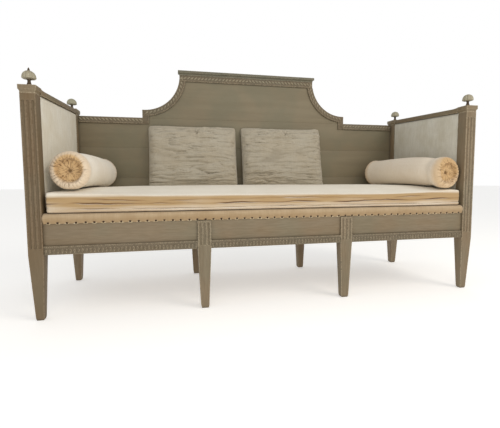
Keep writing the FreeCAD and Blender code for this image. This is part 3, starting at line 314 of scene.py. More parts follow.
def deselect() -> None:
    """Deselect every object and leave edit mode."""
    if bpy.context.object and bpy.context.object.mode != "OBJECT":
        bpy.ops.object.mode_set(mode="OBJECT")
    bpy.ops.object.select_all(action="DESELECT")


def choose(piece: Thing) -> None:
    """Make one object the only selected and active one."""
    deselect()
    piece.select_set(True)
    bpy.context.view_layer.objects.active = piece


def new_piece(name: str, mesh: bpy.types.Mesh) -> Thing:
    """Link a mesh as a new object at the origin."""
    piece = bpy.data.objects.new(name, mesh)
    bpy.context.scene.collection.objects.link(piece)
    return piece


def orient(mesh: bpy.types.Mesh) -> None:
    """Turn the normals of a closed mesh outwards."""
    form = bmesh.new()
    form.from_mesh(mesh)
    bmesh.ops.recalc_face_normals(form, faces=form.faces)
    form.to_mesh(mesh)
    form.free()


def shade_smooth(mesh: bpy.types.Mesh) -> None:
    """Shade every face of a mesh smoothly."""
    mesh.polygons.foreach_set("use_smooth", [True] * len(mesh.polygons))


def mesh_from(name: str, points: Sequence[Vector], faces: Sequence[Sequence[int]]) -> Thing:
    """New smooth-shaded piece from points and faces, with its normals outwards."""
    mesh = bpy.data.meshes.new(name)
    mesh.from_pydata([tuple(point) for point in points], [], faces)
    mesh.validate()
    orient(mesh)
    shade_smooth(mesh)
    return new_piece(name, mesh)


def shell_faces(columns: int, rows: int) -> list[tuple[int, ...]]:
    """Faces of two equal grids of points, one after the other, joined round their border."""
    size = rows * columns
    faces: list[tuple[int, ...]] = []
    for row in range(rows - 1):
        for column in range(columns - 1):
            start = row * columns + column
            quad = (start, start + 1, start + 1 + columns, start + columns)
            faces += [quad, tuple(size + corner for corner in reversed(quad))]
    border = list(range(columns)) + [row * columns + columns - 1 for row in range(1, rows)]
    border += [(rows - 1) * columns + column for column in range(columns - 2, -1, -1)]
    border += [row * columns for row in range(rows - 2, 0, -1)]
    for first, second in zip(border, border[1:] + border[:1]):
        faces.append((first, second, size + second, size + first))
    return faces


def cut_sphere(segments: int, rings: int, radius: float, cut: float, lying: bool) -> Thing:
    """Sphere without its part below a cut; it is left in edit mode with everything selected.

    Args:
        segments: Number of meridians.
        rings: Number of parallels.
        radius: Radius in metres.
        cut: Height of the cut.
        lying: True where the poles lie along X instead of Z.
    """
    deselect()
    bpy.ops.mesh.primitive_uv_sphere_add(segments=segments, ring_count=rings, radius=radius)
    bpy.ops.object.mode_set(mode="EDIT")
    bpy.ops.mesh.select_all(action="SELECT")
    if lying:
        bpy.ops.transform.rotate(value=math.pi / 2, orient_axis="Y", center_override=(0, 0, 0))
    bpy.ops.mesh.bisect(plane_co=(0, 0, cut), plane_no=(0, 0, 1), clear_inner=True, use_fill=True)
    bpy.ops.mesh.select_all(action="SELECT")
    return bpy.context.object


def sweep(name: str, rings: Sequence[Sequence[Vector]], closed: bool = False) -> Thing:
    """Closed tube through rings of equally many points; its ends are capped unless it is closed."""
    count = len(rings[0])
    points = [point for ring in rings for point in ring]
    faces: list[Sequence[int]] = []
    pairs = list(zip(range(len(rings)), range(1, len(rings))))
    if closed:
        pairs.append((len(rings) - 1, 0))
    for lower, upper in pairs:
        for step in range(count):
            following = (step + 1) % count
            faces.append((lower * count + step, lower * count + following,
                          upper * count + following, upper * count + step))
    if not closed:
        faces.append(tuple(reversed(range(count))))
        faces.append(tuple(range((len(rings) - 1) * count, len(rings) * count)))
    return mesh_from(name, points, faces)


def apply_modifier(piece: Thing, kind: str, **settings: object) -> None:
    """Add one modifier with its settings and apply it."""
    choose(piece)
    modifier = piece.modifiers.new(kind.lower(), kind)
    for key, value in settings.items():
        setattr(modifier, key, value)
    bpy.ops.object.modifier_apply(modifier=modifier.name)


def set_tone(piece: Thing, tone: Callable[[Vector, Vector], float]) -> None:
    """Write the cloth's tone, from 0 to 1, as a function of place and normal: its yellowing, and on some pieces painted
    shade.
    """
    mesh = piece.data
    attribute = mesh.attributes.get("tone") or mesh.attributes.new("tone", "FLOAT", "POINT")
    attribute.data.foreach_set("value", [min(1.0, max(0.0, tone(v.co, v.normal))) for v in mesh.vertices])


def set_shade_and_soil(piece: Thing, values: Sequence[float]) -> None:
    """Write how much the creases darken, from 0 to 1, one value for each point: painted shade, with some dirt."""
    attribute = piece.data.attributes.new("shade_and_soil", "FLOAT", "POINT")
    attribute.data.foreach_set("value", [min(1.0, max(0.0, value)) for value in values])


def finish(piece: Thing, material: bpy.types.Material, body: str,
           replaced: Sequence[str] = ()) -> Thing:
    """Give a piece its material and body, and hide the nodes that it stands for."""
    piece.data.materials.clear()
    piece.data.materials.append(material)
    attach(piece, body)
    if replaced:
        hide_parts(*replaced)
    return piece


def swell(piece: Thing, voxel: float, pressure: float, reach: float, frames: int = 20) -> None:
    """Swell a closed form with a cloth simulation, as stuffing does.

    Args:
        piece: Closed mesh object, changed in place.
        voxel: Remesh size in metres.
        pressure: Cloth pressure.
        reach: Furthest that a point may move, in metres.
        frames: Number of simulated frames.
    """
    apply_modifier(piece, "REMESH", mode="VOXEL", voxel_size=voxel, use_smooth_shade=True)
    rest = [vertex.co.copy() for vertex in piece.data.vertices]
    scene = bpy.context.scene
    scene.frame_set(1)
    cloth = piece.modifiers.new("cloth", "CLOTH")
    cloth.settings.quality = 5
    cloth.settings.mass = 0.2
    cloth.settings.tension_stiffness = 18
    cloth.settings.compression_stiffness = 14
    cloth.settings.shear_stiffness = 6
    cloth.settings.bending_stiffness = 0.35
    cloth.settings.use_pressure = True
    cloth.settings.uniform_pressure_force = pressure
    cloth.settings.effector_weights.gravity = 0.0
    cloth.point_cache.frame_start = 1
    cloth.point_cache.frame_end = frames
    for step in range(1, frames + 1):
        scene.frame_set(step)
    choose(piece)
    bpy.ops.object.modifier_apply(modifier=cloth.name)
    scene.frame_set(1)
    for vertex, start in zip(piece.data.vertices, rest):
        move = vertex.co - start
        if move.length > reach:
            vertex.co = start + move.normalized() * reach
    piece.data.update()


# Frame of painted wood

@dataclass
class Joinery:
    """The painted frame: every wooden node with its arrises eased, in the direction of its grain."""

    ease: float = 1.2 * MM
    fine_ease: float = 0.6 * MM
    foot_reach: float = 13 * MM

    # Height above the floor, and the share of a leg's width that is left there
    FOOT = ((0.0, 0.80), (2 * MM, 0.885), (6 * MM, 0.95), (12 * MM, 0.985))

    def grain(self, node: str) -> Grain:
        """Grain direction of a node."""
        if node.startswith(("post", "leg", "finial", "cap", "back_batten", "shoulder")):
            return Grain.ALONG_Z
        if node in ("seat_rail_left", "seat_rail_right") or node.startswith(("arm", "cross_bearer", "corner")):
            return Grain.ALONG_Y
        return Grain.ALONG_X

    def build(self, paints: dict[Grain, bpy.types.Material], special: dict[str, bpy.types.Material]) -> None:
        """Ease every wooden node apart from the finials, which are carved anew.

        Args:
            paints: Paint for each grain direction.
            special: Paint of the nodes whose names begin with a key.
        """
        slots = {item["node"]: item["material_slot"] for item in frame["record"]["subparts"]}
        for node, slot in slots.items():
            if slot != "painted_wood" or node.startswith("finial"):
                continue
            fine = "band" in node or node.startswith(("cap", "crest_cap"))
            piece = self.eased(node, self.fine_ease if fine else self.ease)
            fitting = [paint for start, paint in special.items() if node.startswith(start)]
            finish(piece, fitting[0] if fitting else paints[self.grain(node)], "frame", [node])
            log.info("eased %s", node)

    def eased(self, node: str, radius: float) -> Thing:
        """Copy of a node with flat faces merged and its sharp edges rounded by a radius."""
        piece = new_piece("wood_" + node, frame["nodes"][node].data.copy())
        choose(piece)
        bpy.ops.object.mode_set(mode="EDIT")
        bpy.ops.mesh.select_all(action="SELECT")
        bpy.ops.mesh.remove_doubles(threshold=0.01 * MM)
        bpy.ops.mesh.dissolve_limited(angle_limit=math.radians(1.0))
        bpy.ops.object.mode_set(mode="OBJECT")
        apply_modifier(piece, "BEVEL", width=radius, segments=2, limit_method="ANGLE",
                       angle_limit=math.radians(40), use_clamp_overlap=True)
        if node.startswith(("post", "leg")):
            self.wear_foot(piece)
        choose(piece)
        bpy.ops.object.shade_smooth_by_angle(angle=math.radians(32))
        return piece

    def wear_foot(self, piece: Thing) -> None:
        """Round the bottom of a leg, as use has."""
        choose(piece)
        bpy.ops.object.mode_set(mode="EDIT")
        for level, _ in reversed(self.FOOT[1:]):
            bpy.ops.mesh.select_all(action="SELECT")
            bpy.ops.mesh.bisect(plane_co=(0, 0, level), plane_no=(0, 0, 1))
        form = bmesh.from_edit_mesh(piece.data)
        foot = [vertex for vertex in form.verts if vertex.co.z < self.foot_reach]
        middle = sum((vertex.co for vertex in foot), Vector()) / len(foot)
        for vertex in foot:
            share = blend_between(self.FOOT, vertex.co.z)
            vertex.co.x = middle.x + (vertex.co.x - middle.x) * share
            vertex.co.y = middle.y + (vertex.co.y - middle.y) * share
        bmesh.update_edit_mesh(piece.data)
        bpy.ops.object.mode_set(mode="OBJECT")


@dataclass
class Finial:
    """Turned stem with a carved, lobed mushroom head."""

    lobes: int = 10
    per_lobe: int = 6
    valley: float = 0.89

    # Radius and height in mm, from the foot to the top, and of the pointed bud
    STEM = ((11.4, 0.0), (11.6, 1.6), (10.6, 3.4), (8.2, 6.5), (6.6, 10.5), (5.6, 15.0), (5.6, 20.5), (7.2, 24.2))
    HEAD = ((12.5, 25.4), (18.8, 25.4), (22.4, 26.6), (23.6, 29.4), (23.4, 33.0), (22.4, 38.5),
            (20.4, 43.5), (17.2, 48.0), (12.4, 51.8), (7.2, 54.0), (4.2, 54.8))
    BUD = ((4.1, 56.5), (3.6, 60.0), (2.0, 63.5), (0.7, 66.0))

    # Length of the spigot below the foot; the paint has gone below the neck's height and above the tip's
    SPIGOT = 20 * MM
    NECK = 23 * MM
    TIP = 55 * MM

    def build(self, name: str, base: Vector, bud: bool) -> Thing:
        """Carve one finial.

        Args:
            name: Name of the piece.
            base: Middle of its foot, on top of the post's cap.
            bud: True where the small pointed tip is still there.

        Returns:
            The finished mesh object.
        """
        deselect()
        outline = self.STEM + self.HEAD + (self.BUD if bud else ())
        rings = [(reach * MM, level * MM) for reach, level in outline]
        reach, level = rings[0]
        bpy.ops.mesh.primitive_circle_add(vertices=self.lobes * self.per_lobe, radius=reach, fill_type="NGON",
                                          location=base + Vector((0, 0, level)))
        piece = bpy.context.object
        piece.name = name
        bpy.ops.object.transform_apply(location=True)
        bpy.ops.object.mode_set(mode="EDIT")
        for (before, low), (after, high) in zip(rings, rings[1:]):
            centre = base + Vector((0, 0, high))
            bpy.ops.mesh.extrude_region_move(TRANSFORM_OT_translate={"value": (0, 0, high - low)})
            bpy.ops.transform.resize(value=(after / before, after / before, 1), center_override=centre)
        self.carve(piece, base)
        bpy.ops.object.mode_set(mode="OBJECT")
        orient(piece.data)
        bpy.ops.object.shade_smooth_by_angle(angle=math.radians(50))
        return piece

    def carve(self, piece: Thing, base: Vector) -> None:
        """Press the valleys between the lobes into the head, in edit mode."""
        low, high = base.z + self.HEAD[0][1] * MM, base.z + self.HEAD[-3][1] * MM
        count = self.lobes * self.per_lobe
        for depth, steps in ((self.valley, (0,)), ((1 + self.valley) / 2, (1, self.per_lobe - 1))):
            form = bmesh.from_edit_mesh(piece.data)
            for vertex in form.verts:
                offset = vertex.co - base
                turn = round(math.atan2(offset.y, offset.x) / (2 * math.pi) * count) % self.per_lobe
                inside = low - MM < vertex.co.z < high + MM and offset.xy.length > 4 * MM
                vertex.select_set(inside and turn in steps)
            form.select_flush_mode()
            bmesh.update_edit_mesh(piece.data)
            bpy.ops.transform.resize(value=(depth, depth, 1), center_override=base)


@dataclass
class Carving:
    """Carved ornament on the bands: slanted leaves on the back, small tongues under beads in front."""

    leaf_pitch: float = 19.0 * MM
    tongue_pitch: float = 14.0 * MM

    def leaf(self, length: float, width: float, height: float) -> bpy.types.Mesh:
        """Half-round pointed leaf lying on its back, along +X, with its underside cut away."""
        piece = cut_sphere(10, 6, 0.5, -0.1, lying=True)
        bpy.ops.transform.resize(value=(length, width, height * 2), center_override=(0, 0, 0))
        form = bmesh.from_edit_mesh(piece.data)
        for vertex in form.verts:
            vertex.select_set(vertex.co.x > length * 0.2)
        form.select_flush_mode()
        bmesh.update_edit_mesh(piece.data)
        bpy.ops.transform.resize(value=(1, 0.55, 0.8), center_override=(length * 0.3, 0, 0))
        bpy.ops.object.mode_set(mode="OBJECT")
        mesh = piece.data
        bpy.data.objects.remove(piece)
        return mesh

    def repeat(self, name: str, unit: bpy.types.Mesh, places: Sequence[Matrix]) -> Thing:
        """One piece from copies of a unit mesh at the given places."""
        points: list[Vector] = []
        faces: list[list[int]] = []
        for place in places:
            start = len(points)
            points += [place @ vertex.co for vertex in unit.vertices]
            faces += [[start + corner for corner in face.vertices] for face in unit.polygons]
        return mesh_from(name, points, faces)

    @staticmethod
    def facing(point: Vector, direction: Vector) -> Matrix:
        """Place on a front face: the unit's X runs along the direction, its Z points to the front."""
        along = direction.normalized()
        out = Vector((0, -1, 0))
        across = out.cross(along)
        turn = Matrix((along, across, out)).transposed().to_4x4()
        return Matrix.Translation(point) @ turn

    def straight(self, start: Vector, end: Vector, pitch: float, slant: float) -> list[Matrix]:
        """Evenly spaced places along a line, each turned by the slant about the face's normal."""
        count = max(1, round((end - start).length / pitch))
        direction = (end - start).normalized()
        places = []
        for step in range(count):
            point = start + (end - start) * ((step + 0.5) / count)
            places.append(self.facing(point, direction) @ Matrix.Rotation(slant, 4, "Z"))
        return places


@dataclass
class Bands:
    """Carving on the crest, shoulder, back-rail and front-rail bands."""

    carving: Carving
    slant: float = math.radians(38)
    leaf_rise: float = 19 * MM
    leaf_depth: float = 2.2 * MM
    tongue_rise: float = 13 * MM
    bead_rise: float = 3 * MM
    bead_depth: float = 0.6 * MM
    bead_pitch: float = 12 * MM

    # The concave shoulder at the right: middle of its arc, its radius and its first and last angle
    SHOULDER_X = 0.571
    SHOULDER_Z = 1.091
    SHOULDER_RADIUS = 0.190
    SHOULDER_ARC = (183, 269)

    def build(self, paint: bpy.types.Material, rubbed_and_highlit: bpy.types.Material) -> None:
        """Carve every band and attach it to the frame."""
        # The leaves are in a lighter paint, partly rubbed paint and partly a painted highlight on their tips; bands and
        # beads keep a darker paint that holds painted shade
        leaf = self.carving.leaf(21 * MM, 10.5 * MM, 3.4 * MM)
        tongue = self.carving.leaf(19 * MM, 11 * MM, 2.6 * MM)
        pearl = self.carving.leaf(5.0 * MM, 4.6 * MM, 1.8 * MM)
        bead = self.carving.leaf(8.6 * MM, 5.6 * MM, 2.0 * MM)
        for side_name, side in SIDES.items():
            leaves = self.shoulder(side, 15 * MM, 15, self.slant, self.leaf_depth)
            self.finish("carving_shoulder_" + side_name, leaf, leaves, rubbed_and_highlit)
            beads = self.shoulder(side, 30 * MM, 27, 0.0, self.bead_depth)
            self.finish("beads_shoulder_" + side_name, bead, beads, paint)
            low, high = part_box("back_rail_band_" + side_name)
            self.finish("carving_back_rail_" + side_name, leaf, self.leaves(low, high, side), rubbed_and_highlit)
            self.finish("beads_back_rail_" + side_name, bead, self.beads(low, high), paint)
        low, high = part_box("crest_band")
        places = self.leaves(low, Vector((0, high.y, high.z)), 1)
        places += self.leaves(Vector((0, low.y, low.z)), high, -1)
        self.finish("carving_crest", leaf, places, rubbed_and_highlit)
        self.finish("beads_crest", bead, self.beads(low, high), paint)
        pitch = self.carving.tongue_pitch
        for part in ("left", "middle", "right"):
            low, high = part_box("front_rail_band_" + part)
            places = self.row(low, high, 2 * MM, low.z + self.tongue_rise, pitch, -math.pi / 2)
            self.finish("carving_front_rail_" + part, tongue, places, paint)
            places = self.row(low, high, 1 * MM, high.z - 3 * MM, pitch / 2, 0.0)
            self.finish("pearls_front_rail_" + part, pearl, places, paint)

    def row(self, low: Vector, high: Vector, depth: float, level: float, pitch: float,
            slant: float) -> list[Matrix]:
        """Places along a straight band, whose box is given, behind its front and at a level."""
        start, end = (Vector((x, low.y + depth, level)) for x in (low.x, high.x))
        return self.carving.straight(start, end, pitch, slant)

    def leaves(self, low: Vector, high: Vector, side: int) -> list[Matrix]:
        """Slanted leaves along a straight band."""
        return self.row(low, high, self.leaf_depth, low.z + self.leaf_rise, self.carving.leaf_pitch,
                        self.slant * side)

    def beads(self, low: Vector, high: Vector) -> list[Matrix]:
        """Beads along the lower edge of a straight band."""
        return self.row(low, high, self.bead_depth, low.z + self.bead_rise, self.bead_pitch, 0.0)

    def shoulder(self, side: int, reach: float, count: int, slant: float, depth: float) -> list[Matrix]:
        """Places round the concave shoulder, from the crest down to the ear.

        Args:
            side: -1 at the left and 1 at the right.
            reach: Distance from the edge of the board.
            count: Number of places.
            slant: Turn of each unit about the face's normal.
            depth: Distance behind the front of the band's bead.
        """
        low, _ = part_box("shoulder_band_right")
        centre = Vector((self.SHOULDER_X, low.y + depth, self.SHOULDER_Z))
        radius = self.SHOULDER_RADIUS + reach
        first, last = self.SHOULDER_ARC
        places = []
        for step in range(count):
            angle = math.radians(first + (last - first) * (step + 0.5) / count)
            point = centre + Vector((math.cos(angle), 0, math.sin(angle))) * radius
            along = Vector((-math.sin(angle), 0, math.cos(angle)))
            if side < 0:
                point.x, along.x = -point.x, -along.x
            places.append(self.carving.facing(point, along) @ Matrix.Rotation(-slant * side, 4, "Z"))
        return places

    def finish(self, name: str, unit: bpy.types.Mesh, places: list[Matrix], paint: bpy.types.Material) -> None:
        """Make one carved row and dress it."""
        finish(self.carving.repeat(name, unit, places), paint, "frame")
        log.info("carved %s, %d units", name, len(places))


# Upholstery

@dataclass
class SeatDeck:
    """Linen over a thin stuffing, rolled over the front rail and held by a row of tacks."""

    tack_pitch: float = 32.0 * MM
    tack_z: float = 366.5 * MM
    tack_radius: float = 4.4 * MM
    stations: int = 480
    hem_height: float = 12 * MM
    hem_thickness: float = 0.9 * MM
    hem_stations: int = 700

    def tack_places(self) -> list[float]:
        """X of each tack along the front rail."""
        low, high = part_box("seat_deck")
        count = int((high.x - low.x) / self.tack_pitch)
        start = -(count - 1) / 2 * self.tack_pitch
        return [start + step * self.tack_pitch + 1.6 * MM * ripple(step * 0.9, 0, 3) for step in range(count)]

    def pull(self, x: float) -> float:
        """How near a tack is along the roll, from 0 between two tacks to 1 at one."""
        nearest = min(abs(x - place) for place in self.places)
        return math.exp(-(nearest / (7 * MM)) ** 2)

    def section(self, x: float) -> list[Vector]:
        """Outline of the deck across the sofa: the roll in front, the flat deck, the underside."""
        low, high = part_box("seat_deck")
        face, top, bottom = low.y + 3 * MM, high.z, low.z + 2 * MM
        points = []
        pull = self.pull(x)
        for step in range(22):
            share = step / 21
            z = bottom + share * (top - bottom)
            belly = max(0.0, math.sin(math.pi * min(1.0, share * 0.95 + 0.02))) ** 0.8 * 5.5 * MM
            belly += 1.2 * MM * ripple(x * 14, share * 2, 1) * share
            groove = 2.6 * MM * pull * math.exp(-((z - self.tack_z) / (9 * MM)) ** 2)
            over = max(0.0, (share - 0.72) / 0.28)
            round_back = (1 - math.sqrt(max(0.0, 1 - over ** 2))) * 15 * MM
            points.append(Vector((x, face - belly + groove + round_back, z)))
        for step in range(1, 30):
            share = step / 29
            y = points[21].y + (high.y - points[21].y) * share
            lift = 1.5 * MM * ripple(x * 7, y * 9, 2) * math.sin(math.pi * share)
            points.append(Vector((x, y, top - 1.2 * MM + lift - 0.8 * MM * share)))
        under = top - 20 * MM
        points += [Vector((x, high.y, under)), Vector((x, low.y + 5.0 * MM, under)),
                   Vector((x, low.y + 4.6 * MM, bottom))]
        return points

    def build(self, linen: bpy.types.Material, fringe: bpy.types.Material, iron: bpy.types.Material) -> None:
        """Build the deck, its frayed hem and the tacks."""
        self.places = self.tack_places()
        low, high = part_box("seat_deck")
        rings = [self.section(low.x + (high.x - low.x) * step / (self.stations - 1))
                 for step in range(self.stations)]
        deck = sweep("deck_linen", rings)
        # The lower part of the front roll is toned darker than its lit top: painted shade
        set_tone(deck, lambda co, normal: smooth(402 * MM, 372 * MM, co.z) * 0.75)
        finish(deck, linen, "frame", ["seat_deck"])
        self.build_hem(fringe, low, high)
        self.build_tacks(iron, low)
        log.info("built the seat deck with %d tacks", len(self.places))

    def build_hem(self, fringe: bpy.types.Material, low: Vector, high: Vector) -> None:
        """Raw, frayed edge of the linen below the tacks."""
        count, length = self.hem_stations, high.x - low.x - 2 * MM
        front, back, faces = [], [], []
        for step in range(count):
            x = low.x + 1 * MM + length * step / (count - 1)
            fray = 1.6 * MM * ripple(x * 90, 0, 5) + 1.2 * MM * ripple(x * 310, 0, 6)
            y = low.y + 3.4 * MM + 0.5 * MM * ripple(x * 60, 0, 7)
            scallop = 2.4 * MM * (1 - self.pull(x))
            for z in (low.z + self.hem_height, low.z + scallop + fray):
                front.append(Vector((x, y - self.hem_thickness, z)))
                back.append(Vector((x, y, z)))
        points = front + back
        shift = len(front)
        for step in range(count - 1):
            a, b, c, d = 2 * step, 2 * step + 1, 2 * step + 3, 2 * step + 2
            faces += [(a, b, c, d), (shift + d, shift + c, shift + b, shift + a)]
            faces += [(b, shift + b, shift + c, c), (d, shift + d, shift + a, a)]
        last = 2 * (count - 1)
        faces += [(0, shift, shift + 1, 1), (last + 1, shift + last + 1, shift + last, last)]
        hem = mesh_from("deck_hem", points, faces)
        set_tone(hem, lambda co, normal: 0.05 + 0.5 * smooth(-0.3, 0.4, ripple(co.x * 70, 0, 3)))
        finish(hem, fringe, "frame")

    def build_tacks(self, iron: bpy.types.Material, low: Vector) -> None:
        """Domed tacks, modelled once and copied."""
        tack = cut_sphere(12, 8, self.tack_radius, -0.4 * MM, lying=False)
        bpy.ops.transform.resize(value=(1, 1, 0.7), center_override=(0, 0, 0))
        bpy.ops.object.mode_set(mode="OBJECT")
        carving = Carving()
        face = low.y + 3 * MM
        places = [carving.facing(Vector((x, face, self.tack_z + 1.2 * MM * ripple(x * 30, 1, 4))), Vector((1, 0, 0)))
                  for x in self.places]
        row = carving.repeat("deck_tacks", tack.data, places)
        bpy.data.objects.remove(tack)
        finish(row, iron, "frame")


@dataclass
class ArmPanels:
    """Linen panels on both faces of each arm, slightly crowned, edged with a narrow braid."""

    columns: int = 110
    rows: int = 90
    crown: float = 5.0 * MM
    braid_width: float = 9.0 * MM
    braid_pitch: float = 9.0 * MM

    # Upper edge in mm: its height in front, its rise, and the Y where it starts and over which it rises
    TOP = (835.4, 26.0, -263.0, 509.0)
    # Height in mm of the two upper corners, which are cut down
    CORNERS = (832.4, 858.4)
    # Section of the braid: across in halves of its width, up in shares of its rise
    BRAID = ((-1, -0.6), (-1, 0.1), (-0.6, 0.8), (0, 0.45), (0.6, 0.8), (1, 0.1), (1, -0.6))

    def build(self, linens: dict[str, bpy.types.Material]) -> None:
        """Build the four panels in the linen of their side."""
        for name, side in SIDES.items():
            for face, outward in (("inner", -side), ("outer", side)):
                node = "arm_pad_%s_%s" % (face, name)
                replaced = [node, "arm_core_" + name] if face == "inner" else [node]
                self.panel(node, outward, replaced, linens[name])

    def top(self, y: float) -> float:
        """Height of a panel's upper edge above a place along the arm."""
        height, rise, start, run = self.TOP
        return (height + rise * (y / MM - start) / run) * MM

    def roof(self, y: float, u: float) -> float:
        """Height of a panel's upper edge at a share along the arm, with both corners cut down."""
        front, rear = (corner * MM for corner in self.CORNERS)
        return min(self.top(y), front if u < 0.002 else rear if u > 0.998 else self.top(y))

    def panel(self, node: str, outward: int, replaced: list[str], linen: bpy.types.Material) -> None:
        """One crowned panel with its braid."""
        low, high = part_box(node)
        back = low.x if outward > 0 else high.x
        thick = high.x - low.x
        seed = 10 + outward + low.x * 5
        points: list[Vector] = []
        for layer in (0, 1):
            for row in range(self.rows):
                v = row / (self.rows - 1)
                for column in range(self.columns):
                    u = column / (self.columns - 1)
                    y = low.y + (high.y - low.y) * u
                    z = low.z + (self.roof(y, u) - low.z) * v
                    if layer == 0:
                        x = back
                    else:
                        edge = min(u * (high.y - low.y), (1 - u) * (high.y - low.y), v * 0.43, (1 - v) * 0.43)
                        rim = 1 - smooth(0, 9 * MM, edge)
                        swell_out = self.crown * (1 - abs(2 * u - 1) ** 3) * (1 - abs(2 * v - 1) ** 3)
                        wave = 0.7 * MM * ripple(y * 9, z * 16, seed) + 0.35 * MM * ripple(y * 30, z * 38, seed + 1)
                        x = back + outward * (thick - 1.0 * MM - 2.5 * MM * rim ** 2 + swell_out + wave * (1 - rim))
                    points.append(Vector((x, y, z)))
        piece = mesh_from("linen_" + node, points, shell_faces(self.columns, self.rows))
        set_tone(piece, lambda co, normal: 0.1 + 0.25 * smooth(-0.2, 0.9, ripple(co.y * 4, co.z * 4, seed)))
        finish(piece, linen, "frame", replaced)
        self.braid(node, outward, low, high, back + outward * (thick - 1.6 * MM), linen)
        log.info("built panel %s", node)

    def braid(self, node: str, outward: int, low: Vector, high: Vector, face: float,
              linen: bpy.types.Material) -> None:
        """Narrow scalloped braid round a panel, a little inside its edge."""
        inset = 7.5 * MM
        below = inset + 3 * MM
        corners = [(low.y + inset, low.z + inset), (high.y - inset, low.z + inset),
                   (high.y - inset, self.top(high.y) - below), (low.y + inset, self.top(low.y) - below)]
        rings = []
        for (start_y, start_z), (end_y, end_z) in zip(corners, corners[1:] + corners[:1]):
            length = math.hypot(end_y - start_y, end_z - start_z)
            count = int(length / (self.braid_pitch / 6))
            normal_y, normal_z = (end_z - start_z) / length, -(end_y - start_y) / length
            for step in range(count):
                share = step / count
                y, z = start_y + (end_y - start_y) * share, start_z + (end_z - start_z) * share
                phase = math.cos(2 * math.pi * share * length / self.braid_pitch)
                half = self.braid_width / 2 * (1 + 0.12 * phase)
                rise = (1.5 + 0.7 * phase) * MM
                ring = []
                for across, up in self.BRAID:
                    ring.append(Vector((face + outward * (up * rise + 0.4 * MM),
                                        y + normal_y * half * across, z + normal_z * half * across)))
                rings.append(ring)
        piece = sweep("braid_" + node, rings, closed=True)
        set_tone(piece, lambda co, normal: 0.15)
        finish(piece, linen, "frame")


@dataclass
class Webbing:
    """Jute straps under the deck, slightly waved as if woven over and under each other."""

    width: float = 60 * MM
    thickness: float = 1.1 * MM
    steps: int = 120

    def build(self, jute: bpy.types.Material) -> None:
        """Build the straps of both directions."""
        self.straps("webbing_cross", 12, 0, jute)
        self.straps("webbing_long", 4, 1, jute)

    def straps(self, node: str, count: int, across: int, jute: bpy.types.Material) -> None:
        """Parallel straps across one axis, each a thin waved band."""
        low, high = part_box(node)
        along = 1 - across
        pitch = (high[across] - low[across] - self.width) / (count - 1)
        points: list[Vector] = []
        faces: list[tuple[int, ...]] = []
        steps = self.steps
        for strap in range(count):
            start = low[across] + strap * pitch
            base = len(points)
            for step in range(steps):
                place = low[along] + (high[along] - low[along]) * step / (steps - 1)
                wave = 0.5 * MM * math.sin(place / (58 * MM) * math.pi + strap * math.pi)
                for side, layer in ((0, 0), (1, 0), (1, 1), (0, 1)):
                    point = Vector((0, 0, low.z + 0.2 * MM + layer * self.thickness + wave))
                    point[across], point[along] = start + side * self.width, place
                    points.append(point)
            for step in range(steps - 1):
                for corner in range(4):
                    a, b = base + step * 4 + corner, base + step * 4 + (corner + 1) % 4
                    faces.append((a, b, b + 4, a + 4))
            faces += [(base, base + 1, base + 2, base + 3),
                      tuple(base + (steps - 1) * 4 + corner for corner in (3, 2, 1, 0))]
        piece = mesh_from("straps_" + node, points, faces)
        choose(piece)
        bpy.ops.object.shade_smooth_by_angle(angle=math.radians(40))
        finish(piece, jute, "frame", [node])


